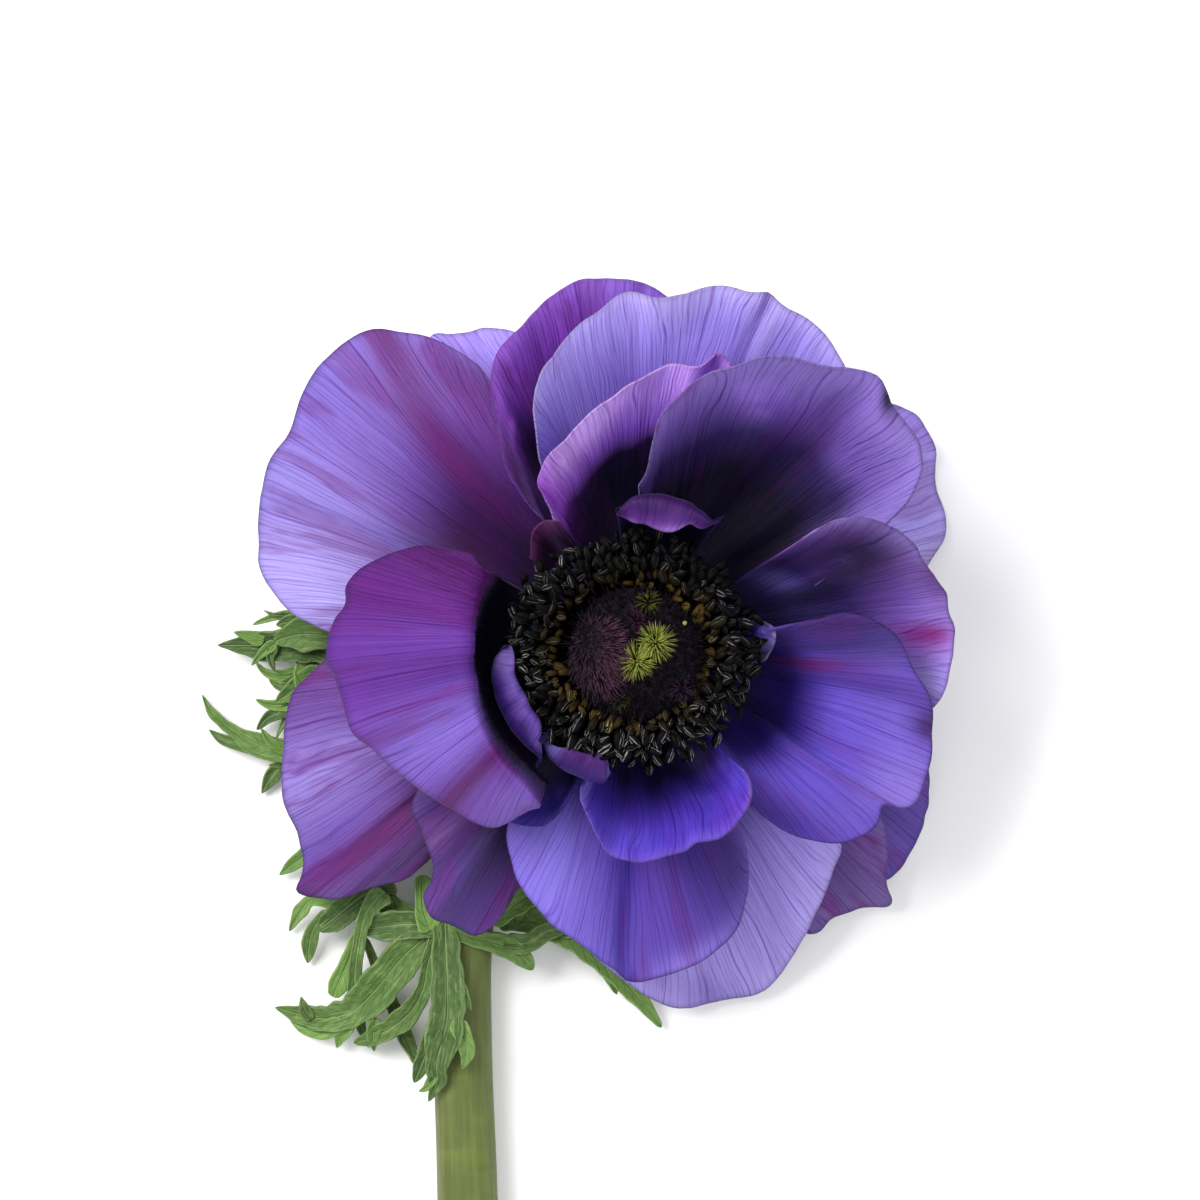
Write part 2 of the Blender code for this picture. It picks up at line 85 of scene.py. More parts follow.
stageFacts = {
    "floorSize": 3.0,
    "cameraHeight": 0.9,
    "frameWidth": 0.132,   # what the picture takes in, at the height of the tepals
    "focusHeight": 0.022,
    "aim": (-3.5, 4.4),    # middle of the picture in the flower's frame, mm
    "sensor": 36.0,
    "worldLight": 0.80,
    # lamps: place over the flower in metres, size, power, colour
    "keyLamp": ((-0.42, 0.30, 0.62), 0.45, 8.0, (1.0, 0.99, 0.97)),
    "fillLamp": ((0.55, -0.25, 0.50), 0.6, 2.0, (0.96, 0.97, 1.0)),
}


def pointLamp(name, kind, place, target, size, power, colour):
    lampData = bpy.data.lights.new(name, kind)
    lampData.energy = power
    lampData.size = size
    lampData.color = colour
    lamp = bpy.data.objects.new(name, lampData)
    lamp.location = place
    lamp.rotation_euler = (Vector(target) - Vector(place)).to_track_quat("-Z", "Y").to_euler()
    bpy.context.scene.collection.objects.link(lamp)


def buildStage():
    deselectAll()
    bpy.ops.mesh.primitive_plane_add(size=stageFacts["floorSize"])
    floor = bpy.context.object
    floor.name = "floor"
    paint = bpy.data.materials.new("paleFloor")
    paint.use_nodes = True
    shader = paint.node_tree.nodes["Principled BSDF"]
    shader.inputs["Base Color"].default_value = (0.93, 0.93, 0.93, 1)
    shader.inputs["Roughness"].default_value = 0.9
    floor.data.materials.append(paint)

    world = bpy.data.worlds.new("softRoom")
    bpy.context.scene.world = world
    world.use_nodes = True
    sky = world.node_tree.nodes["Background"]
    sky.inputs["Color"].default_value = (1, 1, 1, 1)
    sky.inputs["Strength"].default_value = stageFacts["worldLight"]
    middle = flowerPlace + Vector((0, 0, 0.02))
    for name in ("keyLamp", "fillLamp"):
        place, size, power, colour = stageFacts[name]
        pointLamp(name, "AREA", middle + Vector(place), middle, size, power, colour)

    lens = bpy.data.cameras.new("overhead")
    camera = bpy.data.objects.new("overhead", lens)
    aimX, aimY = stageFacts["aim"]
    camera.location = flowerPlace + Vector((aimX * mm, aimY * mm, stageFacts["cameraHeight"]))
    distance = stageFacts["cameraHeight"] - stageFacts["focusHeight"]
    lens.sensor_width = stageFacts["sensor"]
    lens.lens = stageFacts["sensor"] * distance / stageFacts["frameWidth"]
    lens.clip_start = 0.05
    bpy.context.scene.collection.objects.link(camera)
    bpy.context.scene.camera = camera
    bpy.context.scene.view_settings.view_transform = "Standard"
    print("anemone: stage, lamps and camera")


buildStage()


class Wire:
    # one output socket of a material, so that + - * / on it add Math nodes
    def __init__(self, tree, socket=None):
        self.tree = tree
        self.socket = socket

    def node(self, kind, inputs=None, out=0, stops=None, **settings):
        made = self.tree.nodes.new("ShaderNode" + kind)
        for key, value in settings.items():
            setattr(made, key, value)
        if stops:
            ramp = made.color_ramp
            while len(ramp.elements) < len(stops):
                ramp.elements.new(0.5)
            for element, (place, colour) in zip(ramp.elements, stops):
                element.position = place
                element.color = (*colour, 1)
        for key, value in (inputs or {}).items():
            if isinstance(value, Wire):
                self.tree.links.new(value.socket, made.inputs[key])
            else:
                made.inputs[key].default_value = value
        return Wire(self.tree, made.outputs[out])

    def maths(self, operation, *values):
        return self.node("Math", dict(enumerate(values)), operation=operation)

    def __add__(self, other):
        return self.maths("ADD", self, other)

    def __radd__(self, other):
        return self.maths("ADD", other, self)

    def __sub__(self, other):
        return self.maths("SUBTRACT", self, other)

    def __rsub__(self, other):
        return self.maths("SUBTRACT", other, self)

    def __mul__(self, other):
        return self.maths("MULTIPLY", self, other)

    def __rmul__(self, other):
        return self.maths("MULTIPLY", other, self)

    def __abs__(self):
        return self.maths("ABSOLUTE", self)

    def fraction(self):
        return self.maths("FRACT", self)

    def rise(self, low, high):
        # 0 below low, 1 above high and smooth between
        return self.node("MapRange", {0: self, 1: low, 2: high, 3: 0.0, 4: 1.0},
                         interpolation_type="SMOOTHSTEP")

    def noise(self, x, y, z=0.0, detail=2.0, rough=0.5):
        spot = self.node("CombineXYZ", {0: x, 1: y, 2: z})
        return self.node("TexNoise", {"Vector": spot, "Scale": 1.0, "Detail": detail, "Roughness": rough})

    def blend(self, first, second, share, mode="MIX"):
        # colours, each a Wire or three numbers
        sides = [c if isinstance(c, Wire) else (*c, 1) for c in (first, second)]
        return self.node("Mix", {0: share, 6: sides[0], 7: sides[1]}, out=2,
                         data_type="RGBA", blend_type=mode, clamp_factor=True)

    def bump(self, height, distance, strength=1.0):
        return self.node("Bump", {"Height": height, "Distance": distance, "Strength": strength})


def newMaterial(name, **fixed):
    # a Principled material with its fixed values, and a Wire to build its nodes with
    material = bpy.data.materials.new(name)
    material.use_nodes = True
    shader = material.node_tree.nodes["Principled BSDF"]
    for key, value in fixed.items():
        shader.inputs[key.replace("_", " ")].default_value = value
    return material, Wire(material.node_tree), shader


def plug(wire, shader, socket):
    wire.tree.links.new(wire.socket, shader.inputs[socket])


def uvAxes(w):
    place = w.node("UVMap", uv_map="UVMap")
    return w.node("SeparateXYZ", {0: place}), w.node("SeparateXYZ", {0: place}, out=1)


def reading(w, name):
    return w.node("Attribute", attribute_name=name, out=2)


def grains(w, scale, detail, rough=0.5):
    # noise in the object's own space, for what doesn't follow a surface
    spot = w.node("VectorMath", {0: w.node("TexCoord", out=3), "Scale": scale}, operation="SCALE")
    return w.node("TexNoise", {"Vector": spot, "Scale": 1.0, "Detail": detail, "Roughness": rough})


def brighten(w, colour, bright):
    return w.blend(colour, w.node("CombineXYZ", {0: bright, 1: bright, 2: bright}), 1.0, "MULTIPLY")


tepalFinish = {
    # veins: how many in a millimetre, width as a share of their spacing, strength
    "mainVeins": (0.24, 0.05, 0.6),
    "middleVeins": (1.0, 0.2, 0.6),
    "twigs": (2.0, 0.36, 0.45),
    "veinColour": (0.60, 0.42, 0.70),    # what a vein leaves of the skin's own colour
    "flushColour": tint(88, 16, 100),
    "veinDepth": 0.00006,
    "pleatDepth": 0.00022,
}


def tepalSkin():
    # velvety skin: vertex colours under radiating veins, pleats and flushes of magenta.
    # The UV map is in centimetres: x along the margin, y from the claw outwards.
    material, w, shader = newMaterial("tepalSkin", Sheen_Weight=0.06, Sheen_Roughness=0.4,
                                      Sheen_Tint=(0.65, 0.55, 1.0, 1), IOR=1.38, Specular_IOR_Level=0.22)
    pigment = w.node("VertexColor", layer_name="pigment")
    flush = reading(w, "flush")
    acrossUv, outUv = uvAxes(w)
    x = acrossUv * 10.0
    y = outUv * 10.0
    wander = w.noise(x * 0.09, y * 0.05, 3.1, detail=1.0) - 0.5
    wobble = w.noise(x * 0.30, y * 0.16, 8.2, detail=1.0) - 0.5
    along = x + wander * 5.0 + wobble * 1.3
    mainCount, mainWidth, mainStrength = tepalFinish["mainVeins"]
    middleCount, middleWidth, middleStrength = tepalFinish["middleVeins"]
    twigCount, twigWidth, twigStrength = tepalFinish["twigs"]
    main = abs((along * mainCount + wander * 0.8).fraction() - 0.5)
    middle = abs((along * middleCount + wobble * 0.5).fraction() - 0.5)
    twigs = abs((along * twigCount - wobble * 1.6 + wander * 2.0).fraction() - 0.5)
    patchy = w.noise(x * 0.9, y * 0.11, 6.6, detail=2.0)
    vein = ((1.0 - main.rise(0.0, mainWidth)) * patchy.rise(0.25, 0.5) * mainStrength
            + (1.0 - middle.rise(0.0, middleWidth)) * patchy.rise(0.36, 0.62) * middleStrength
            + (1.0 - twigs.rise(0.0, twigWidth)) * patchy.rise(0.64, 0.40) * twigStrength)
    streak = w.noise(x * 1.9 + wander * 2.0, y * 0.10, 5.9, detail=4.0, rough=0.62)
    grain = w.noise(x * 7.0, y * 2.2, 2.2, detail=3.0, rough=0.6)
    cloud = w.noise(x * 0.16, y * 0.14, 4.4, detail=2.0)
    bright = 0.52 + streak * 0.50 + grain * 0.20 + cloud * 0.26
    body = brighten(w, pigment, bright)
    blush = w.noise(along * 0.30, y * 0.075, 9.4, detail=3.0, rough=0.6).rise(0.50, 0.64)
    body = w.blend(body, tepalFinish["flushColour"], blush * flush)
    shade = vein.rise(0.0, 1.0)
    dark = w.blend(body, tepalFinish["veinColour"], 1.0, "MULTIPLY")
    colour = w.blend(body, dark, shade)
    plug(colour, shader, "Base Color")
    plug(0.46 + streak * 0.16, shader, "Roughness")
    ridge = w.bump(1.0 - shade, tepalFinish["veinDepth"], 0.8)
    pleat = w.node("Bump", {"Height": streak, "Distance": tepalFinish["pleatDepth"], "Strength": 0.9,
                            "Normal": ridge})
    plug(pleat, shader, "Normal")
    return material


# the dark colours at the claw: dark pigment at the base of the tepals together with painted shade of the
# deep cup
navyAndCupShade = (22, 16, 60)
inkAndCupShade = (14, 10, 30)
plain = (1, 1, 1)   # a tone that changes nothing

clawRadius = 4.5
clawHalfWidth = 1.0
layerHeights = (14.6, 15.8, 17.0, 18.2, 19.4)
skyHeight = 200.0

# how a tepal climbs: knots of (share of the way out, share of the margin's height, extra height)
climbs = {
    "drooping": ((0.35, 0.35, 1.5), (0.7, 0.7, 2.5)),
    "arched": ((0.3, 0.25, 2.0), (0.65, 0.7, 4.0)),
    "openCup": ((0.4, 0.15, 0.5), (0.75, 0.5, 0.5)),
    "deepCup": ((0.45, 0.08, 0.0), (0.78, 0.4, 0.0)),
    "shouldered": ((0.35, 0.08, 0.0), (0.62, 0.7, 3.0)),
    "curled": ((0.6, 0.1, 0.0), (0.9, 0.7, 0.5)),
}

# lowest first. Each takes the place of the CAD node of its own name.
# margin: (x, y, height) in mm, anticlockwise from above.
# stops: colours (0 to 255) from the claw to the margin; the near-black stops towards the claw are dark
# pigment together with painted shade of the deep cup.
# patches: place along the margin, place outwards, their two widths, colour and strength.
# creases: (place along the margin, width, height in mm).
# tone and patchTone: how much red, green and blue light the stops and the patches keep.
# fold: (radius, height) of the knots before the margin, how far they spread, and how far out they
# may go; close draws the two ends to points.
tepals = {
    "tepalTopLeftBack": {
        "slot": "tepal_pale", "layer": 0, "bearing": 118, "climb": "drooping",
        "margin": ((-8, 27, 14), (-9.5, 32, 13), (-13.2, 34.3, 12), (-16, 34.4, 12), (-19.6, 33.9, 12),
            (-22.6, 33.3, 12), (-21, 26, 14)),
        "stops": ((0, navyAndCupShade), (0.5, (88, 56, 140)), (0.85, (146, 126, 214)), (1, (156, 138, 220))),
        "flush": 0.2,
    },
    "tepalRightBack": {
        "slot": "tepal_pale", "layer": 0, "bearing": 32, "climb": "drooping",
        "margin": ((24, 3, 9), (30, 5, 5), (33, 7.3, 2.8), (34.9, 10.8, 1.2), (35.2, 13.5, 0.8),
            (34.4, 17.5, 0.8), (34.2, 21.8, 2.3), (32, 25.2, 4.5), (29, 26.4, 7), (26, 27, 11),
            (17, 21, 14)),
        "stops": ((0, navyAndCupShade), (0.5, (70, 46, 140)), (0.8, (136, 118, 198)), (1, (146, 130, 208))),
        "flush": 0.35,
        "tone": (1.2, 1.3, 1.12),
        "patchTone": (1.2, 1.3, 1.12),
        "patches": ((0.25, 0.95, 0.08, 0.15, (118, 104, 138), 0.6),
            (0.62, 0.9, 0.1, 0.2, (120, 88, 190), 0.6)),
    },
    "tepalLowerRightBack": {
        "slot": "tepal_violet", "layer": 0, "bearing": -28,
        "climb": "drooping",
        "margin": ((22, -25.5, 4), (28, -27.4, 1.5), (30.6, -25.6, 0.9), (32.2, -23, 0.7),
            (33, -20.9, 1.2), (33.5, -16.7, 3), (32.9, -13, 5), (30, -9.5, 7.5), (22, -6, 11)),
        "stops": ((0, navyAndCupShade), (0.5, (52, 36, 104)), (0.8, (84, 64, 134)), (1, (96, 80, 150))),
        "flush": 0.4,
        "tone": (0.85, 0.75, 1.0),
    },
    "tepalLowerRightOuter": {
        "slot": "tepal_violet", "layer": 0, "bearing": -58,
        "climb": "drooping",
        "margin": ((12, -27, 7), (16, -31.5, 4.5), (20.2, -32.9, 3), (22.6, -31.3, 3.3),
            (25.2, -30.7, 3), (29.4, -29.9, 3.5), (28.4, -27.2, 5), (28.6, -24, 6.4), (27, -19, 8),
            (20, -13, 12)),
        "stops": ((0, navyAndCupShade), (0.5, (60, 40, 104)), (0.8, (88, 64, 128)), (1, (106, 84, 146))),
        "flush": 0.6,
    },
    "tepalLowerLeft": {
        "slot": "tepal_violet", "layer": 0, "bearing": 205, "climb": "drooping",
        "margin": ((-24, 1, 14), (-31, 0.2, 12), (-33.6, -2.2, 11), (-35.8, -4.4, 10.5), (-38.2, -7, 10),
            (-39.3, -13, 9), (-38.9, -17.8, 8.7), (-37.1, -21.8, 8.5), (-36.3, -25.5, 8.5),
            (-37.6, -28, 7.5), (-36, -28.6, 8), (-32.5, -28.8, 9), (-28.7, -27.4, 10), (-24, -26, 11),
            (-19, -20, 13)),
        "stops": ((0, inkAndCupShade), (0.4, (56, 18, 66)), (0.6, (100, 48, 134)), (0.8, (124, 94, 188)),
            (1, (130, 104, 194))),
        "flush": 0.5,
        "tone": (0.61, 0.59, 0.59),
        "patchTone": (0.9, 0.82, 0.82),
        "patches": ((0.16, 0.85, 0.12, 0.35, (88, 28, 84), 1),
            (0.27, 0.9, 0.07, 0.3, (98, 58, 140), 0.8), (0.45, 0.88, 0.1, 0.3, (134, 120, 196), 0.95),
            (0.58, 0.92, 0.06, 0.25, (88, 62, 150), 0.7), (0.66, 0.72, 0.05, 0.35, (86, 24, 92), 0.95),
            (0.76, 0.85, 0.05, 0.3, (80, 58, 112), 0.9), (0.88, 0.8, 0.12, 0.4, (64, 44, 88), 0.95),
            (0.66, 1, 0.03, 0.06, (50, 40, 66), 0.7)),
        "creases": ((0.7, 0.03, 0.5), (0.42, 0.05, 0.4)),
    },
    "tepalUpperLeft": {
        "slot": "tepal_violet", "layer": 0, "bearing": 150, "climb": "arched",
        "margin": ((-10, 17, 19), (-14.5, 22, 20.5), (-15.6, 28, 21), (-18, 31, 21), (-22.8, 33.4, 20),
            (-25.3, 33.8, 19.5), (-28, 34.3, 19), (-30.4, 33.9, 18.5), (-32.7, 32.4, 18),
            (-36.3, 27.8, 16), (-37.9, 22.6, 15), (-39.4, 21, 14.5), (-40.8, 17.5, 13.5),
            (-41.4, 13, 12.8), (-41.5, 8, 12.3), (-39.6, 5, 12.3), (-38.2, 2.9, 12.5), (-34.6, 1.4, 13),
            (-26, -1, 15)),
        "stops": ((0, inkAndCupShade), (0.3, (30, 12, 50)), (0.48, (58, 22, 88)), (0.66, (90, 54, 132)),
            (0.85, (108, 82, 156)), (1, (118, 98, 180))),
        "flush": 0.45,
        "patches": ((0.1, 0.7, 0.1, 0.3, (88, 32, 112), 0.85),
            (0.24, 0.82, 0.06, 0.2, (84, 30, 104), 0.8), (0.355, 0.95, 0.035, 0.16, (84, 20, 84), 0.85),
            (0.39, 0.62, 0.045, 0.22, (84, 24, 92), 0.95), (0.5, 0.88, 0.07, 0.22, (108, 90, 172), 0.6),
            (0.6, 0.44, 0.14, 0.1, (54, 16, 60), 0.95), (0.63, 0.9, 0.05, 0.25, (126, 114, 190), 0.7),
            (0.655, 0.72, 0.012, 0.3, (78, 58, 144), 0.7),
            (0.8, 0.85, 0.13, 0.35, (160, 148, 214), 0.95), (0.96, 0.8, 0.05, 0.4, (120, 106, 184), 0.7)),
        "creases": ((0.6, 0.025, 0.9), (0.3, 0.05, 0.5)),
    },
    "tepalTopDark": {
        "slot": "tepal_magenta", "layer": 1, "bearing": 106, "climb": "openCup",
        "margin": ((9, 27, 24), (7, 34, 26), (4.6, 37, 26.6), (1, 39.3, 27), (-2.5, 39.5, 27),
            (-5.8, 39.3, 26.6), (-9.2, 37.2, 26), (-12, 34.6, 25.3), (-14.3, 32.3, 25),
            (-15.8, 28.6, 24), (-15.4, 24.3, 23.3), (-13.6, 18.8, 22), (-10.5, 14, 21)),
        "stops": ((0, inkAndCupShade), (0.4, (22, 8, 40)), (0.6, (42, 11, 66)), (0.8, (118, 58, 166)),
            (1, (142, 88, 196))),
        "flush": 0.4,
        "patches": ((0.28, 0.97, 0.14, 0.12, (142, 110, 202), 0.8),
            (0.86, 0.8, 0.15, 0.28, (36, 7, 58), 1)),
    },
    "tepalTopPale": {
        "slot": "tepal_pale", "layer": 1, "bearing": 70, "climb": "openCup",
        "margin": ((22, 18, 26), (24.8, 24, 28.5), (23.4, 29, 30), (20.1, 33.7, 31), (17, 36, 31.6),
            (14.4, 38.1, 32.4), (13.4, 37.3, 32), (9.7, 38.1, 32), (6.5, 37.5, 32), (3, 37, 31.6),
            (-0.4, 37.7, 31), (-3, 36.2, 30.5), (-5.6, 34.3, 30), (-8.2, 31.6, 29.3), (-10.3, 28.5, 29),
            (-10.6, 25, 28.4), (-10, 20.6, 27.4), (-8, 15, 25)),
        "stops": ((0, navyAndCupShade), (0.4, (60, 40, 130)), (0.66, (108, 82, 172)), (0.84, (142, 124, 208)),
            (1, (166, 150, 218))),
        "flush": 0.12,
        "tone": (1.15, 1.25, 1.1),
        "patches": ((0.37, 0.95, 0.012, 0.2, (84, 52, 130), 0.95),
            (0.34, 0.9, 0.02, 0.2, (176, 164, 228), 0.8), (0.72, 0.85, 0.12, 0.25, (160, 146, 222), 0.7),
            (0.92, 0.75, 0.06, 0.3, (112, 92, 180), 0.7)),
        "creases": ((0.33, 0.02, 0.5), (0.55, 0.06, 0.5)),
    },
    "tepalBottomPale": {
        "slot": "tepal_pale", "layer": 1, "bearing": -78, "climb": "arched",
        "margin": ((-7, -25, 11), (-5, -33.5, 9), (-2, -37.2, 7.6), (0.2, -39, 6.8), (3, -40.8, 5),
            (7.4, -41.6, 3.5), (12, -40.5, 3), (15.4, -39.6, 3.5), (17.8, -36.3, 5.5), (18.9, -34, 7),
            (20, -32, 8), (21.3, -28.4, 9.5), (22.6, -24.8, 11), (23.1, -21.6, 12), (18, -15, 14)),
        "stops": ((0, navyAndCupShade), (0.4, (76, 52, 150)), (0.66, (134, 116, 204)), (1, (160, 148, 216))),
        "flush": 0.12,
        "patches": ((0.42, 0.97, 0.05, 0.1, (100, 84, 160), 0.7),
            (0.3, 0.8, 0.12, 0.3, (138, 124, 194), 0.6)),
    },
    "tepalLowerLeftHanging": {
        "slot": "tepal_magenta", "layer": 1, "bearing": 238,
        "climb": "drooping",
        "margin": ((-17, -11, 17), (-22, -14, 16.3), (-23.7, -17.3, 15.5), (-23.8, -19.7, 15.2),
            (-22.4, -23.2, 14.5), (-22.2, -26.7, 13.6), (-23.2, -28.5, 13), (-21, -31.2, 12),
            (-17.5, -33, 11), (-15.4, -31.6, 11.6), (-14, -28.8, 12.6), (-12.2, -26.4, 13.5)),
        "stops": ((0, inkAndCupShade), (0.45, (18, 12, 40)), (0.62, (38, 22, 66)), (0.82, (60, 36, 96)),
            (1, (78, 54, 116))),
        "flush": 0.4,
        "patches": ((0.4, 0.9, 0.05, 0.15, (104, 76, 132), 0.7),
            (0.62, 0.9, 0.1, 0.2, (74, 56, 120), 0.7), (0.93, 0.8, 0.06, 0.4, (70, 26, 82), 0.9),
            (0.86, 0.75, 0.03, 0.3, (92, 50, 128), 0.6)),
        "creases": ((0.62, 0.035, 2.2), (0.3, 0.05, 0.8)),
    },
    "tepalTopInner": {
        "slot": "tepal_violet", "layer": 2, "bearing": 96, "climb": "openCup",
        "margin": ((14.2, 24, 32), (11.5, 29, 34.5), (9.4, 31, 36.2), (8.5, 30.2, 36), (7.4, 29.6, 36),
            (4.6, 29.7, 35), (1.8, 29.1, 34.4), (-0.6, 27.8, 34), (-3.2, 26.2, 33), (-6, 23.4, 32.4),
            (-8.2, 20.9, 32), (-10, 18.2, 30), (-9.9, 16.2, 28.6), (-8, 12.5, 26)),
        "stops": ((0, inkAndCupShade), (0.5, (15, 10, 32)), (0.6, (24, 16, 50)), (0.7, (158, 100, 222)),
            (0.85, (214, 166, 254)), (1, (208, 170, 250))),
        "flush": 0.25,
        "patches": ((0.88, 0.85, 0.1, 0.3, (164, 66, 216), 0.9),
            (0.24, 0.97, 0.06, 0.1, (150, 76, 186), 0.7), (0.12, 0.56, 0.1, 0.16, (16, 11, 30), 0.7)),
    },
    "tepalUpperRightCup": {
        "slot": "tepal_violet", "layer": 2, "bearing": 50, "climb": "deepCup",
        "margin": ((20, 6, 25), (25, 9.5, 29), (28.4, 13.4, 32), (30.9, 16, 35), (31.5, 18.8, 37),
            (31, 21, 38.5), (29.7, 23.4, 40), (28, 25.8, 41), (26.7, 28, 41.8), (25.9, 28.4, 41.5),
            (24, 29, 41.6), (22.2, 29.6, 42), (19.5, 30.2, 42), (16.6, 30.8, 42), (13, 30.6, 41.5),
            (10, 29.6, 41), (7, 28.4, 40), (4.6, 26.6, 39), (3, 24.4, 38), (0.5, 17, 31)),
        "stops": ((0, inkAndCupShade), (0.4, (16, 12, 32)), (0.56, (46, 32, 86)), (0.72, (106, 78, 164)),
            (0.9, (134, 110, 194)), (1, (134, 112, 190))),
        "flush": 0.3,
        "tone": (1.12, 1.15, 1.08),
        "patchTone": (1.12, 1.15, 1.08),
        "patches": ((0.14, 0.46, 0.08, 0.16, (84, 72, 140), 0.95),
            (0.2, 0.78, 0.12, 0.26, (134, 114, 190), 0.8), (0.82, 0.97, 0.05, 0.1, (112, 60, 150), 0.5),
            (0.43, 0.99, 0.016, 0.07, (30, 22, 44), 1), (0.95, 0.8, 0.06, 0.3, (40, 24, 70), 0.6)),
        "creases": ((0.43, 0.02, 0.5),),
    },
    "tepalBottomKeeled": {
        "slot": "tepal_violet", "layer": 2, "bearing": -92, "climb": "arched",
        "margin": ((-10.5, -13, 20), (-13.4, -20.8, 19), (-13, -24, 18.6), (-11.8, -27.2, 18),
            (-9.7, -30, 17), (-7.6, -32.3, 16), (-4.6, -34.6, 15.2), (-2.4, -36.8, 14),
            (-0.2, -39.1, 13), (0.8, -38.3, 13.4), (4, -37.3, 14.5), (7.3, -36.2, 15.4),
            (9.6, -34.4, 16), (11.4, -32.4, 16.8), (12.8, -28, 18), (12.8, -24.8, 19.2), (11.8, -22, 20),
            (8, -14, 21)),
        "stops": ((0, inkAndCupShade), (0.4, (34, 22, 98)), (0.66, (66, 44, 142)), (1, (100, 82, 176))),
        "flush": 0.3,
        "patches": ((0.25, 0.85, 0.12, 0.3, (126, 110, 206), 0.9),
            (0.78, 0.75, 0.16, 0.32, (50, 30, 98), 0.97), (0.56, 0.75, 0.07, 0.3, (84, 58, 150), 0.8),
            (0.62, 0.97, 0.08, 0.06, (132, 114, 198), 0.6), (0.46, 0.7, 0.018, 0.5, (46, 30, 122), 0.9),
            (0.49, 1, 0.02, 0.06, (50, 34, 132), 0.8)),
        "creases": ((0.47, 0.03, -1.3), (0.2, 0.06, 0.5)),
    },
    "tepalRightUpper": {
        "slot": "tepal_magenta", "layer": 2, "bearing": 8, "climb": "openCup",
        "margin": ((22, -8, 20), (29, -9.5, 20), (32.9, -7.6, 21.4), (34.7, -4.8, 23), (35.2, -1.8, 25),
            (35, 1.5, 27), (34, 4.6, 29.5), (32.4, 7.2, 31), (31.3, 8.9, 32.5), (29, 10.9, 35),
            (26.6, 12.4, 36.4), (24.4, 13.2, 37), (22.4, 13.4, 37), (20, 12, 37)),
        "stops": ((0, inkAndCupShade), (0.35, (30, 24, 72)), (0.55, (44, 28, 90)), (0.75, (112, 78, 168)),
            (1, (150, 126, 208))),
        "flush": 0.16,
        "patches": ((0.78, 0.75, 0.15, 0.25, (26, 13, 50), 0.95),
            (0.46, 0.86, 0.04, 0.14, (112, 26, 104), 0.95), (0.6, 0.97, 0.08, 0.08, (80, 34, 104), 0.7),
            (0.3, 0.83, 0.06, 0.2, (158, 142, 216), 0.95), (0.19, 0.93, 0.04, 0.06, (124, 62, 146), 0.6),
            (0.1, 0.9, 0.06, 0.12, (124, 90, 176), 0.6), (0.86, 0.42, 0.16, 0.06, (84, 76, 144), 0.8),
            (0.985, 0.85, 0.02, 0.3, (112, 52, 104), 0.9)),
        "creases": ((0.6, 0.05, -0.8),),
    },
    "tepalRightLower": {
        "slot": "tepal_violet", "layer": 3, "bearing": -28, "climb": "shouldered",
        "margin": ((5.6, -12.1, 22), (7.2, -14.1, 22.4), (9.8, -14.9, 23), (12.4, -17.6, 23.4),
            (15, -19.8, 23.5), (17.4, -21.5, 23.3), (20.5, -22.2, 23), (23, -22.2, 22.6),
            (26.3, -21, 22), (27.2, -19.6, 22), (27.4, -17.6, 23), (28.9, -18.6, 22),
            (30.5, -18.5, 21.6), (31.9, -17.2, 21.6), (32.4, -15, 21.8), (33.2, -12, 22.5),
            (32.8, -9.4, 23.5), (33, -7.8, 24), (32, -5, 25.5), (30.8, -2.8, 26.5), (28.8, 0.7, 29.5),
            (26.5, 2.3, 30.6), (23.4, 3, 31), (20.1, 2.4, 31), (17.2, 1.9, 30)),
        "stops": ((0, inkAndCupShade), (0.3, (24, 18, 70)), (0.5, (54, 38, 140)), (0.72, (99, 81, 192)),
            (0.9, (113, 96, 194)), (1, (108, 88, 188))),
        "flush": 0.25,
        "tone": (0.83, 0.75, 0.83),
        "patchTone": (0.83, 0.75, 0.83),
        "patches": ((0.86, 0.85, 0.12, 0.35, (40, 26, 86), 0.97),
            (0.74, 0.62, 0.03, 0.18, (96, 22, 96), 0.95), (0.7, 0.82, 0.03, 0.2, (78, 42, 140), 0.6),
            (0.22, 0.9, 0.14, 0.2, (58, 40, 132), 0.95), (0.5, 0.95, 0.07, 0.12, (132, 116, 196), 0.85),
            (0.64, 0.97, 0.03, 0.06, (60, 34, 86), 0.9), (0.08, 0.8, 0.08, 0.3, (48, 32, 128), 0.8)),
        "creases": ((0.72, 0.035, 0.9), (0.42, 0.02, -0.4), (0.66, 0.02, -0.5)),
    },
    "tepalInnerRight": {
        "slot": "tepal_pale", "layer": 3, "bearing": 5, "climb": "curled",
        "cells": (16, 14),
        "margin": ((13.4, -2.4, 23.5), (14.6, -2.2, 25), (15.5, -0.6, 26), (15.4, 1.3, 26),
            (13.8, 2.3, 25)),
        "stops": ((0, inkAndCupShade), (0.6, (50, 36, 110)), (0.8, (96, 88, 150)), (1, (140, 134, 182))),
        "flush": 0,
    },
    "tepalLowerLeftHidden": {
        "slot": "tepal_violet", "layer": 3, "bearing": 240, "climb": "openCup",
        "cells": (24, 18),
        "margin": ((-11, -11, 21), (-14.3, -18.6, 22.5), (-12, -20.4, 23.4), (-9.4, -20.5, 24),
            (-7.3, -18.4, 25), (-6.2, -16, 24.5)),
        "stops": ((0, inkAndCupShade), (0.6, navyAndCupShade), (0.85, (46, 30, 128)), (1, (80, 66, 176))),
        "flush": 0.1,
    },
    "tepalBottomInner": {
        "slot": "tepal_violet", "layer": 3, "bearing": -75, "climb": "deepCup",
        "cells": (36, 24),
        "margin": ((-5.6, -16.2, 28.8), (-5.6, -17.8, 29.6), (-4.3, -20.6, 31), (-2.6, -22.8, 31.4),
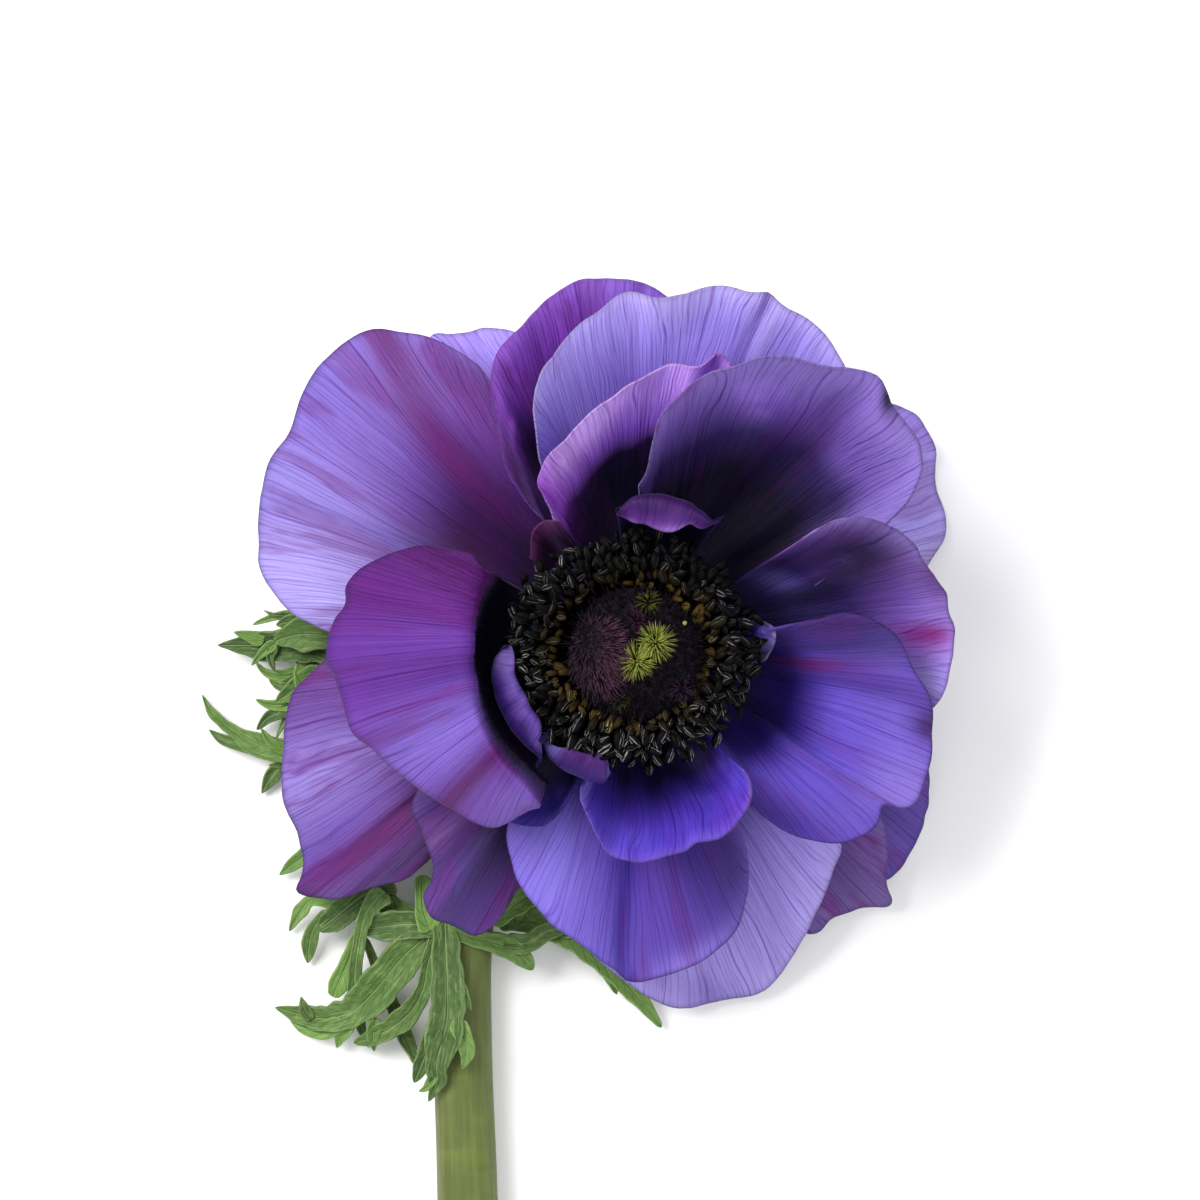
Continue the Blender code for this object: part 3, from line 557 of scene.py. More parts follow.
            (0, -23.8, 31.5), (2.6, -23.8, 31.5), (5, -23, 31.5), (7.2, -21.8, 31.2), (9.6, -21.4, 31),
            (11.4, -19.8, 30.6), (12.9, -17.2, 30), (12.9, -15.7, 29.4), (12, -14.4, 28.8)),
        "stops": ((0, inkAndCupShade), (0.45, navyAndCupShade), (0.66, (58, 38, 144)), (0.88, (76, 54, 176)),
            (1, (104, 78, 188))),
        "flush": 0.15,
        "tone": (1.15, 1.2, 1.15),
        "patches": ((0.8, 0.9, 0.1, 0.15, (84, 42, 150), 0.6),
            (0.35, 0.85, 0.1, 0.12, (96, 80, 204), 0.6), (0.035, 0.85, 0.035, 0.4, (122, 112, 200), 0.9),
            (0.9, 0.99, 0.05, 0.04, (130, 90, 160), 0.7)),
    },
    "tepalLeftFolded": {
        "slot": "tepal_magenta", "layer": 3, "bearing": 178,
        "fold": {"knots": ((15.0, 21.0), (16.4, 31.0), (17.8, 37.0)), "spread": 0.15, "last": 0.97},
        "cells": (48, 44),
        "margin": ((-17.6, 8.6, 36.2), (-19.6, 9.5, 36), (-22, 10.3, 35), (-25.5, 9.9, 33.6),
            (-29.6, 7.6, 31), (-31.2, 5.8, 30), (-30.9, 3.6, 29.4), (-32.4, 2.3, 28.6), (-33.2, 0, 27.6),
            (-32.7, -4.3, 27), (-30.5, -9.1, 27), (-28, -11.6, 27), (-25.2, -14.7, 27),
            (-21, -17.9, 27.4), (-17.5, -19.8, 28), (-14.3, -20.4, 28.6), (-10.2, -18.6, 30)),
        "stops": ((0, inkAndCupShade), (0.5, (14, 10, 38)), (0.6, (36, 6, 54)), (0.7, (70, 12, 90)),
            (0.85, (82, 28, 118)), (1, (86, 34, 126))),
        "flush": 0.45,
        "patches": ((0.08, 0.85, 0.17, 0.35, (66, 3, 80), 1),
            (0.3, 0.92, 0.08, 0.15, (80, 12, 102), 0.85), (0.42, 0.8, 0.08, 0.25, (90, 46, 138), 0.85),
            (0.55, 0.72, 0.08, 0.15, (60, 34, 124), 0.6), (0.68, 0.85, 0.1, 0.3, (112, 88, 176), 0.97),
            (0.82, 0.85, 0.032, 0.4, (68, 8, 76), 1), (0.94, 0.9, 0.07, 0.3, (106, 82, 168), 0.9)),
        "creases": ((0.58, 0.03, 0.5),),
    },
    "tepalInnerUpperLeft": {
        "slot": "tepal_dark", "layer": 4, "bearing": 130, "climb": "curled",
        "cells": (16, 14),
        "margin": ((-7.6, 12.6, 24.6), (-9.2, 13.2, 25.2), (-10.8, 12, 25), (-11.2, 9, 23)),
        "stops": ((0, inkAndCupShade), (0.5, (40, 18, 54)), (1, (104, 48, 96))),
        "flush": 0.1,
    },
    "tepalInnerLeft": {
        "slot": "tepal_magenta", "layer": 4, "bearing": 205,
        "fold": {"knots": ((14.0, 26.5), (15.5, 30.0), (15.4, 33.4)),
                 "spread": 0.06, "last": 9.0, "close": 5},
        "cells": (30, 26),
        "margin": ((-13.2, -0.6, 33), (-12.9, -2.4, 34.2), (-12.4, -4.6, 34.5), (-11.2, -7, 34.5),
            (-9.9, -9.2, 34), (-9.7, -11.4, 33), (-10, -13.1, 31)),
        # painted highlight: the pale stop at 0.93 and the pale patch at the top end are light on the curled
        # fold
        "stops": ((0, inkAndCupShade), (0.5, navyAndCupShade), (0.68, (34, 18, 90)), (0.82, (46, 24, 104)),
            (0.93, (96, 76, 168)), (1, (60, 36, 116))),
        "flush": 0,
        "tone": (0.75, 0.6, 0.62),
        "patchTone": (0.75, 0.6, 0.62),
        "patches": ((0.06, 0.9, 0.12, 0.35, (104, 92, 164), 0.85),),
    },
    "tepalInnerLowerLeft": {
        "slot": "tepal_magenta", "layer": 4, "bearing": 240,
        "fold": {"knots": ((13.4, 25.5), (15.2, 28.5), (15.6, 31.4)),
                 "spread": 0.02, "last": 9.0, "close": 4},
        "cells": (28, 22),
        "margin": ((-9.7, -10.4, 31), (-7.8, -11.6, 32.2), (-6, -12, 32.5), (-4.6, -12.2, 32.2),
            (-3, -12.4, 31.4), (-2.4, -14.4, 29.5)),
        "stops": ((0, inkAndCupShade), (0.5, navyAndCupShade), (0.72, (34, 20, 86)), (0.9, (56, 24, 88)), (1, (84, 44, 116))),
        "flush": 0,
        "patches": ((0.14, 0.95, 0.1, 0.16, (104, 96, 166), 0.9),
            (0.9, 0.92, 0.08, 0.14, (116, 110, 196), 0.9)),
    },
    "tepalInnerTop": {
        "slot": "tepal_magenta", "layer": 4, "bearing": 73,
        "fold": {"knots": ((14.2, 27.0), (16.0, 31.5), (15.7, 35.0)),
                 "spread": 0.0, "last": 9.0, "close": 3},
        "cells": (32, 26),
        "margin": ((9.5, 13.0, 33), (7.4, 12.2, 34), (6.2, 12.7, 34.6), (4.6, 11.9, 34.8),
            (2.8, 11.9, 34.8), (1.4, 12.6, 34.6), (0, 12.7, 34), (-1.6, 13.6, 32.6)),
        "stops": ((0, inkAndCupShade), (0.45, navyAndCupShade), (0.66, (44, 16, 70)), (0.84, (58, 22, 86)),
            (0.94, (84, 44, 116)), (1, (124, 92, 150))),
        "flush": 0,
        "tone": (0.75, 0.6, 0.85),
        "patchTone": (0.75, 0.6, 0.85),
        # painted highlight: the pale patch along the middle of the margin is light on the curled edge
        "patches": ((0.45, 1, 0.16, 0.06, (140, 112, 172), 0.8),),
    },
}

tepalFacts = {
    "cells": (44, 32),
    "thickness": 0.22,
    "room": 0.5,
    "leastSlope": 0.4,
    "passes": 3,
    "spread": 5,
    "ruffle": 0.55,       # waviness near the margin, mm
    "buckle": 0.45,       # broad unevenness, mm
    "scallop": 0.22,      # unevenness of the outline, mm
    "pleat": 0.07,        # fine folds along the veins, mm
    # painted shade: a dark line along the margin, which keeps the thin rim from catching light
    "rimStart": 0.965,    # where the dark line along the margin begins
    "rimDark": 0.5,
}


def splineAt(knots, shares):
    # points at the shares (0 to 1) of a smooth curve through the knots, the first axis of an array
    last = len(knots) - 1
    places = np.clip(shares, 0, 1) * last
    index = np.minimum(places.astype(int), last - 1)
    t = (places - index).reshape((-1,) + (1,) * (knots.ndim - 1))
    before = knots[np.maximum(index - 1, 0)]
    start, end = knots[index], knots[index + 1]
    after = knots[np.minimum(index + 2, last)]
    return 0.5 * (2 * start + (end - before) * t + (2 * before - 5 * start + 4 * end - after) * t ** 2
                  + (3 * start - before - 3 * end + after) * t ** 3)


def evenly(points, shares):
    # the same, but with the shares measured along the length of the curve
    fine = splineAt(points, np.linspace(0, 1, 400))
    steps = np.linalg.norm(np.diff(fine, axis=0), axis=1)
    length = np.concatenate(([0], np.cumsum(steps)))
    places = shares * length[-1]
    return np.stack([np.interp(places, length, fine[:, k]) for k in range(3)], axis=1), length[-1]


def surfaceNormals(grid):
    du = np.gradient(grid, axis=1)
    dv = np.gradient(grid, axis=0)
    cross = np.cross(dv, du)
    cross /= np.maximum(np.linalg.norm(cross, axis=2, keepdims=True), 1e-9)
    return cross * np.sign(cross[..., 2:3].mean() or 1)


def noiseGrid(x, y, seed):
    flat = [noise.noise(Vector((a, b, seed))) for a, b in zip(x.ravel(), y.ravel())]
    return np.array(flat).reshape(x.shape)


def tepalGrid(facts, number):
    # rows of points, claw first, of the middle surface
    across, along = facts.get("cells", tepalFacts["cells"])
    u = np.linspace(0, 1, across + 1)
    v = np.linspace(0, 1, along + 1)
    edge, marginLength = evenly(np.array(facts["margin"], float), u)
    turn = math.radians(facts["bearing"])
    side = (2 * u - 1) * clawHalfWidth
    height = layerHeights[facts["layer"]]
    claw = np.stack((
        clawRadius * math.cos(turn) - side * math.sin(turn),
        clawRadius * math.sin(turn) + side * math.cos(turn),
        np.full_like(u, height),
    ), axis=1)
    knots = [claw]
    if "fold" in facts:
        fold = facts["fold"]
        reach = np.hypot(edge[:, 0], edge[:, 1])
        for radius, level in fold["knots"]:
            outward = radius * (1 + fold["spread"] * u)
            share = np.minimum((outward - clawRadius) / (reach - clawRadius), fold["last"])
            closed = np.abs(2 * u - 1) ** fold["close"] if "close" in fold else 0 * u
            share = (share + (1 - share) * closed * level / (level + 2.0))[:, None]
            knot = claw + (edge - claw) * share
            knot[:, 2] = level + (edge[:, 2] - level) * closed
            knots.append(knot)
    else:
        for share, rise, extra in climbs[facts["climb"]]:
            knot = claw + (edge - claw) * share
            knot[:, 2] = claw[:, 2] + (edge[:, 2] - claw[:, 2]) * rise + extra
            knots.append(knot)
    knots.append(edge)
    grid = splineAt(np.array(knots), v)
    uu, vv = np.meshgrid(u, v)
    size = facts.get("wave", 1.0) * min(marginLength / 60, 1.0)
    lengthwise = marginLength * uu
    wave = noiseGrid(lengthwise / 6.5, vv * 1.6, number * 3.7) * tepalFacts["ruffle"] * vv ** 4 * 2
    wave += noiseGrid(lengthwise / 14, vv * 2.2, number * 5.1 + 40) * tepalFacts["buckle"] * vv ** 1.5 * 2
    for place, width, tall in facts.get("creases", ()):
        wave += tall / max(size, 0.3) * np.exp(-((uu - place) / width) ** 2) * vv ** 1.5
    grid += surfaceNormals(grid) * (wave * size)[..., None]
    inward = grid[-1] - claw
    inward[:, 2] = 0
    inward /= np.linalg.norm(inward, axis=1, keepdims=True)
    nick = noiseGrid(marginLength * u / 2.4, u * 0, number * 2.3 + 9) * tepalFacts["scallop"] * 2
    grid += inward[None] * (nick[None] * vv ** 8)[..., None]
    return grid, marginLength


def gridFaces(rows, columns):
    return [
        (j * columns + i, (j + 1) * columns + i, (j + 1) * columns + i + 1, j * columns + i + 1)
        for j in range(rows - 1)
        for i in range(columns - 1)
    ]


def spreadOut(lift, passes):
    # each value is kept or raised to the mean of its neighbours, so that a lift has no sharp end
    for _ in range(passes):
        around = np.pad(lift, 1, mode="edge")
        mean = (around[:-2, 1:-1] + around[2:, 1:-1] + around[1:-1, :-2] + around[1:-1, 2:]) / 4
        lift = np.maximum(lift, mean)
    return lift


def liftClear(grid, below):
    # raised wherever a lower tepal would come through it
    down = Vector((0, 0, -1))
    for _ in range(tepalFacts["passes"]):
        lift = np.zeros(grid.shape[:2])
        for j in range(grid.shape[0]):
            for i in range(grid.shape[1]):
                x, y, z = grid[j, i]
                for tree, low, high in below:
                    if not (low[0] <= x <= high[0] and low[1] <= y <= high[1]):
                        continue
                    hit, normal, _, _ = tree.ray_cast(Vector((x, y, skyHeight)), down)
                    if hit is not None:
                        room = tepalFacts["room"] / max(abs(normal.z), tepalFacts["leastSlope"])
                        lift[j, i] = max(lift[j, i], hit.z + room - z)
        if lift.max() < 0.02:
            break
        around = np.pad(lift, 1, mode="edge")
        rows, columns = lift.shape
        lift = np.max([around[b:b + rows, a:a + columns] for b in range(3) for a in range(3)], axis=0)
        grid[..., 2] += spreadOut(lift, tepalFacts["spread"])


def toned(colour, tone):
    # the near-black and navy colours at the claw, dark pigment together with painted shade of the deep cup,
    # keep their own colour
    return tint(*colour) * (1 if colour in (inkAndCupShade, navyAndCupShade) else np.array(tone))


def colourOver(stops, tone, v):
    places = [place for place, _ in stops]
    colours = np.array([toned(colour, tone) for _, colour in stops])
    return np.stack([np.interp(v, places, colours[:, k]) for k in range(3)], axis=1)


def paintTepal(piece, facts, number):
    # per-vertex colour from the stops and patches, and how far the magenta flush may show
    mesh = piece.data
    layer = mesh.uv_layers.active.data
    uv = np.zeros((len(mesh.vertices), 2))
    for loop in mesh.loops:
        uv[loop.vertex_index] = layer[loop.index].uv
    u, v = uv[:, 0], uv[:, 1]
    drift = np.array([noise.noise(Vector((a * 9, b * 2.2, number * 1.9))) for a, b in uv])
    colours = colourOver(facts["stops"], facts.get("tone", plain), np.clip(v + 0.07 * drift, 0, 1))
    for place, out, wide, tall, colour, strength in facts.get("patches", ()):
        share = np.exp(-((u - place + 0.03 * drift) / wide) ** 2 - ((v - out) / tall) ** 2) * strength
        colours += (toned(colour, facts.get("patchTone", plain)) - colours) * share[:, None]
    # painted shade: a dark line along the margin, which keeps the thin rim from catching light
    rimShade = np.clip((v - tepalFacts["rimStart"]) / (1 - tepalFacts["rimStart"]), 0, 1)
    colours *= 1 - tepalFacts["rimDark"] * rimShade[:, None] ** 2
    setColours(mesh, "pigment", colours)
    setValues(mesh, "flush", facts["flush"] * np.clip(v * 1.6 - 0.3, 0, 1))
    return u, v


def apply(piece, kind, **settings):
    selectOnly([piece])
    step = piece.modifiers.new(kind, kind)
    for key, value in settings.items():
        setattr(step, key, value)
    bpy.ops.object.modifier_apply(modifier=step.name)


def setValues(mesh, name, values):
    mesh.attributes.new(name, "FLOAT", "POINT").data.foreach_set("value", values)


def setColours(mesh, name, colours):
    made = mesh.color_attributes.new(name, "FLOAT_COLOR", "POINT")
    made.data.foreach_set("color", np.concatenate((colours, np.ones((len(colours), 1))), axis=1).ravel())


def finishPiece(piece, name, nodes, material):
    piece.name = name
    piece.data.name = name
    piece.data.materials.clear()
    piece.data.materials.append(material)
    piece.data.shade_smooth()
    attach(piece, "root")
    for node in nodes:
        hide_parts(node)


def nodeName(name):
    # tepalTopInner stands for the node tepal_top_inner
    return "".join("_" + letter.lower() if letter.isupper() else letter for letter in name)


def buildTepals():
    skin = tepalSkin()
    below = []
    for number, (name, facts) in enumerate(tepals.items(), 1):
        grid, marginLength = tepalGrid(facts, number)
        liftClear(grid, below)
        rows, columns = grid.shape[:2]
        points = grid.reshape(-1, 3)
        tree = BVHTree.FromPolygons([Vector(p) for p in points], gridFaces(rows, columns))
        below.append((tree, points.min(0), points.max(0)))
        deselectAll()
        bpy.ops.mesh.primitive_grid_add(x_subdivisions=columns - 1, y_subdivisions=rows - 1, size=1)
        piece = bpy.context.object
        world = toWorld(points).reshape(rows, columns, 3)
        for vertex in piece.data.vertices:
            i = round((vertex.co.x + 0.5) * (columns - 1))
            j = round((vertex.co.y + 0.5) * (rows - 1))
            vertex.co = world[j, i]
        apply(piece, "SUBSURF", levels=1, render_levels=1)
        u, v = paintTepal(piece, facts, number)
        reach = float(np.linalg.norm(grid[-1].mean(0) - grid[0].mean(0)))
        mesh = piece.data
        for k, vertex in enumerate(mesh.vertices):
            fine = noise.noise(Vector((u[k] * marginLength * 0.8, v[k] * reach * 0.05, number)))
            vertex.co += vertex.normal * (fine * 2 * tepalFacts["pleat"] * mm * min(v[k] * 2, 1))
        layer = mesh.uv_layers.active.data
        for item in layer:
            item.uv = (item.uv[0] * marginLength / 10 + number * 3.1, item.uv[1] * reach / 10)
        apply(piece, "SOLIDIFY", thickness=tepalFacts["thickness"] * mm, offset=0, use_rim=True)
        finishPiece(piece, name, [nodeName(name)], skin)
    print("anemone: tepals", len(tepals))


buildTepals()


def newRandom(seed):
    return np.random.default_rng(seed)


heartMiddle = np.array((-0.2, -1.0))  # the stamens lean this far from the axis, mm


def templateArrays(piece):
    # points, faces and UVs of a piece that is copied many times
    mesh = piece.data
    points = np.array([v.co[:] for v in mesh.vertices])
    faces = [tuple(p.vertices) for p in mesh.polygons]
    uv = np.array([item.uv[:] for item in mesh.uv_layers.active.data])
    bpy.data.objects.remove(piece)
    return points, faces, uv


def pieceFromCopies(name, copies, faces, uv, **values):
    # one mesh from many copies of a template. copies: arrays of placed points, mm.
    # values: an attribute's name with one number (FLOAT) or colour (FLOAT_COLOR) for each point
    size = len(copies[0])
    points = toWorld(np.concatenate(copies))
    allFaces = [tuple(k + n * size for k in face) for n in range(len(copies)) for face in faces]
    mesh = bpy.data.meshes.new(name)
    mesh.from_pydata([tuple(p) for p in points], [], allFaces)
    layer = mesh.uv_layers.new(name="UVMap")
    layer.data.foreach_set("uv", np.tile(uv, (len(copies), 1)).ravel())
    for key, value in values.items():
        if value.ndim == 2:
            setColours(mesh, key, value)
        else:
            setValues(mesh, key, value)
    piece = bpy.data.objects.new(name, mesh)
    bpy.context.scene.collection.objects.link(piece)
    return piece


def turnTo(direction, roll):
    # a matrix (rows of numpy) that turns +Z to the direction
    z = np.array(direction) / np.linalg.norm(direction)
    side = np.cross((0, 0, 1) if abs(z[2]) < 0.95 else (0, 1, 0), z)
    side /= np.linalg.norm(side)
    other = np.cross(z, side)
    x = side * math.cos(roll) + other * math.sin(roll)
    return np.stack((x, np.cross(z, x), z), axis=1)


stamenFacts = {
    # rows: radius of the anthers, how many, their height, tilt above level in degrees, share of olive
    "rows": (
        ("stamensInner", ((8.1, 46, 31.2, 40, 0.95), (8.8, 44, 32.0, 34, 0.65))),
        ("stamensMiddle", ((9.5, 56, 32.6, 26, 0.12), (10.3, 62, 33.0, 16, 0.0),
        (11.1, 66, 32.9, 6, 0.0))),
        ("stamensOuter", ((11.8, 70, 32.4, 0, 0.0), (12.5, 70, 31.5, -10, 0.0),
        (13.2, 60, 30.2, -22, 0.0))),
    ),
    "anther": (0.50, 0.40, 0.86),      # half sizes, mm
    "groove": 0.34,
    "sizeSpread": 0.16,
    "squash": (1.03, 0.95),            # the disc is a little wider than tall
    "filamentFoot": (5.2, 27.6),       # radius and height where the filaments start, mm
    "filamentWidth": 0.17,
}


def antherTemplate():
    # a bean with a groove down each face
    deselectAll()
    bpy.ops.mesh.primitive_uv_sphere_add(segments=8, ring_count=7, radius=1)
    bean = bpy.context.object
    for vertex in bean.data.vertices:
        x, y, z = vertex.co
        ring = math.hypot(x, y)
        pinch = 1 - stamenFacts["groove"] * (abs(y) / ring) ** 4 if ring > 0.1 else 1
        fuller = 1 + 0.18 * (1 - z * z)
        vertex.co = (x * fuller, y * pinch * fuller, z)
    return templateArrays(bean)


def filamentTemplate():
    # a four-sided thread from (0, 0, 0) to (0, 0, 1), cut into three so that it can bend
    deselectAll()
    bpy.ops.mesh.primitive_cylinder_add(vertices=4, radius=1, depth=1, end_fill_type="NGON")
    thread = bpy.context.object
    for height in (-0.17, 0.17):
        bpy.ops.object.mode_set(mode="EDIT")
        bpy.ops.mesh.select_all(action="SELECT")
        bpy.ops.mesh.bisect(plane_co=(0, 0, height), plane_no=(0, 0, 1))
        bpy.ops.object.mode_set(mode="OBJECT")
    points, faces, uv = templateArrays(thread)
    points[:, 2] += 0.5
    return points, faces, uv


def antherSkin():
    # near-black beans with pale fine stripes along both lobes, olive where a stamen is ripe. The pale
    # stripes are partly pollen lines and partly painted highlight: the tone attribute shows them most on
    # the side where light falls.
    material, w, shader = newMaterial("antherSkin", IOR=1.45, Specular_IOR_Level=0.06)
    u, v = uvAxes(w)
    tone = reading(w, "tone")
    olive = reading(w, "olive")
    kind = reading(w, "kind")
    lobe = abs((u * 2.0).fraction() - 0.5)
    stripe = (1.0 - abs(lobe - 0.13).rise(0.015, 0.075)) * (1.0 - abs(v - 0.5).rise(0.30, 0.46))
    seam = 1.0 - lobe.rise(0.02, 0.06)
    fibre = w.noise(u * 40.0 + tone * 60.0, v * 5.0, tone * 9.0, detail=3.0)
    pollenAndHighlight = stripe * fibre.rise(0.36, 0.62)
    dark = w.blend(tint(5, 5, 6), tint(72, 56, 22), olive)
    pale = w.blend(tint(156, 156, 154), tint(140, 134, 72), olive)
    # painted light: the pale stripes are scaled by how much light falls on this anther's side of the ring
    colour = w.blend(dark, pale, pollenAndHighlight * tone)
    colour = w.blend(colour, tint(6, 6, 7), seam * 0.85)
    colour = w.blend(colour, tint(7, 6, 11), kind)
    plug(colour, shader, "Base Color")
    plug(0.52 - pollenAndHighlight * 0.16, shader, "Roughness")
    plug(w.bump(fibre * stripe - seam, 0.00008, 0.8), shader, "Normal")
    return material


def buildStamens():
    bean = antherTemplate()
    thread = filamentTemplate()
    skin = antherSkin()
    draw = newRandom(11)
    foot, footHeight = stamenFacts["filamentFoot"]
    for name, rows in stamenFacts["rows"]:
        beans, threads, sideLight, olives = [], [], [], []
        for radius, count, height, tilt, ripe in rows:
            for k in range(count):
                turn = math.tau * (k + draw.uniform(-0.42, 0.42)) / count
                out = radius + draw.normal(0, 0.34) + 0.35 * math.sin(turn * 5 + 1.3) * (radius > 12)
                z = height + draw.normal(0, 0.35)
                squashX, squashY = stamenFacts["squash"]
                spot = np.array((
                    heartMiddle[0] + out * squashX * math.cos(turn),
                    heartMiddle[1] + out * squashY * math.sin(turn),
                    z,
                ))
                lean = math.radians(tilt + draw.normal(0, 26))
                aside = turn + draw.normal(0, 0.7)
                level = math.cos(lean)
                direction = (math.cos(aside) * level, math.sin(aside) * level, math.sin(lean))
                matrix = turnTo(direction, math.pi / 2 + draw.normal(0, 0.6))
                size = 1 + draw.normal(0, stamenFacts["sizeSpread"])
                half = np.array(stamenFacts["anther"]) * np.clip(size, 0.7, 1.4)
                beans.append((bean[0] * half) @ matrix.T + spot)
                # painted light and shade: the stripes are brightest on the left and lower left, darkest at
                # the top
                lit = 0.5 - 0.5 * math.cos(turn - math.radians(72))
                sideLight.append(np.clip(0.15 + 0.85 * lit ** 1.5 + draw.normal(0, 0.2), 0.04, 1))
                arcs = max(math.cos(turn - math.radians(35)), math.cos(turn - math.radians(228)) * 0.95,
                           math.cos(turn - math.radians(300)) * 0.8)
                olives.append(np.clip(ripe * (0.2 + 0.85 * max(arcs, 0) ** 3 + draw.normal(0, 0.1)), 0, 1))
                start = np.array((
                    heartMiddle[0] + foot * math.cos(turn),
                    heartMiddle[1] + foot * math.sin(turn),
                    footHeight,
                ))
                base = spot - np.array(direction) * half[2] * 0.6
                share = thread[0][:, 2:3]
                bow = np.array((math.cos(turn), math.sin(turn), -0.9)) * (share * (1 - share)) * 2.2
                line = start + (base - start) * share + bow
                ring = thread[0] * (stamenFacts["filamentWidth"], stamenFacts["filamentWidth"], 0)
                threads.append(line + ring @ turnTo(base - start, 0).T)
        size = len(bean[0])
        anthers = pieceFromCopies(
            name, beans, bean[1], bean[2], tone=np.repeat(sideLight, size), olive=np.repeat(olives, size),
            kind=np.zeros(size * len(beans)))
        size = len(thread[0])
        stalks = pieceFromCopies(
            name + "Stalks", threads, thread[1], thread[2], tone=np.zeros(size * len(threads)),
            olive=np.zeros(size * len(threads)), kind=np.ones(size * len(threads)))
        selectOnly([anthers, stalks])
        bpy.ops.object.join()
        finishPiece(anthers, name, ["stamens"], skin)
    print("anemone: stamens")


carpelFacts = {
    "middle": (0.5, -1.5),
    "radius": 7.4,
    "top": 35.6,
    "dome": 5.4,
    "neck": ((0.86, 29.2), (0.62, 27.6), (0.42, 26.8)),  # share of the radius, height
    "mound": (-4.1, -0.2, 3.1, 4.0, 2.4),  # middle x, y, half widths, height; leans to the left
    # tufts: middle x, y, radius, hairs, colour of the tips, colour of the roots, lift
    "tufts": (
        (-0.1, -0.8, 1.85, 210, tint(200, 208, 106), tint(116, 130, 44), 2.3),
        (2.0, 1.2, 1.9, 220, tint(200, 208, 106), tint(116, 130, 44), 2.3),
        (1.2, 5.6, 1.3, 80, tint(128, 136, 60), tint(40, 44, 16), 1.3),
        (-1.7, -5.1, 1.0, 46, tint(104, 112, 52), tint(28, 32, 12), 0.9),
        (4.9, -3.7, 1.4, 90, tint(108, 74, 112), tint(26, 14, 30), 0.8),
        (0.2, 3.6, 1.2, 60, tint(112, 62, 100), tint(30, 12, 30), 1.2),
    ),
    "darkHairs": 1300,
    "moundHairs": 900,
    "length": (0.9, 1.6),
    "width": 0.075,
    "bead": (5.2, 3.4, 0.26, 2.0),      # a pale seed on a stalk: x, y, radius, height of the stalk
}


def domeHeight(x, y):
    # height of the carpel head over the flower's frame, with the raised mound on its left
    radius = carpelFacts["radius"]
    share = np.clip((x * x + y * y) / radius ** 2, 0, 1)
    z = carpelFacts["top"] - carpelFacts["dome"] + carpelFacts["dome"] * np.sqrt(1 - share)
    mx, my, wide, tall, high = carpelFacts["mound"]
    near = np.clip(1 - ((x - mx) / wide) ** 2 - ((y - my) / tall) ** 2, 0, 1)
    return z + high * near ** 0.8


def domeNormal(x, y):
    step = 0.05
    dx = (domeHeight(x + step, y) - domeHeight(x - step, y)) / (2 * step)
    dy = (domeHeight(x, y + step) - domeHeight(x, y - step)) / (2 * step)
    normal = np.array((-dx, -dy, 1.0))
    return normal / np.linalg.norm(normal)


def hairTemplate():
    # a three-sided thread that tapers to a point, cut into four so that it can bend
    deselectAll()
    bpy.ops.mesh.primitive_cone_add(vertices=3, radius1=1, radius2=0, depth=1, end_fill_type="NGON")
    hair = bpy.context.object
    for height in (-0.25, 0.0, 0.25):
        bpy.ops.object.mode_set(mode="EDIT")
        bpy.ops.mesh.select_all(action="SELECT")
        bpy.ops.mesh.bisect(plane_co=(0, 0, height), plane_no=(0, 0, 1))
        bpy.ops.object.mode_set(mode="OBJECT")
    points, faces, uv = templateArrays(hair)
    points[:, 2] += 0.5
    stem = np.sqrt(np.clip(1 - points[:, 2:3], 0, 1)) / np.maximum(1 - points[:, 2:3], 1e-6)
    points[:, :2] *= stem * 0.8
    return points, faces, uv


def hairSkin():
    material, w, shader = newMaterial("hairSkin", Roughness=0.5, Specular_IOR_Level=0.08)
    pigment = w.node("VertexColor", layer_name="pigment")
    u, v = uvAxes(w)
    fleck = w.noise(u * 30.0, v * 30.0)
    plug(brighten(w, pigment, 0.8 + fleck * 0.4), shader, "Base Color")
    return material


def domeSkin():
    material, w, shader = newMaterial("carpelSkin", Specular_IOR_Level=0.04)
    grain = grains(w, 1600.0, 4.0)
    plug(w.blend(tint(8, 7, 10), tint(30, 22, 34), grain.rise(0.4, 0.7)), shader, "Base Color")
    plug(0.55 + grain * 0.3, shader, "Roughness")
    plug(w.bump(grain, 0.0003), shader, "Normal")
    return material


def placeHair(template, root, direction, length, width, fall):
    # a hair from the root along the direction, bent towards the way that fall points
    points = template[0]
    share = points[:, 2:3]
    line = np.array(root) + np.array(direction) * length * share + np.array(fall) * length * share ** 2
    ring = points * (width, width, 0)
    return line + ring @ turnTo(direction, 0).T


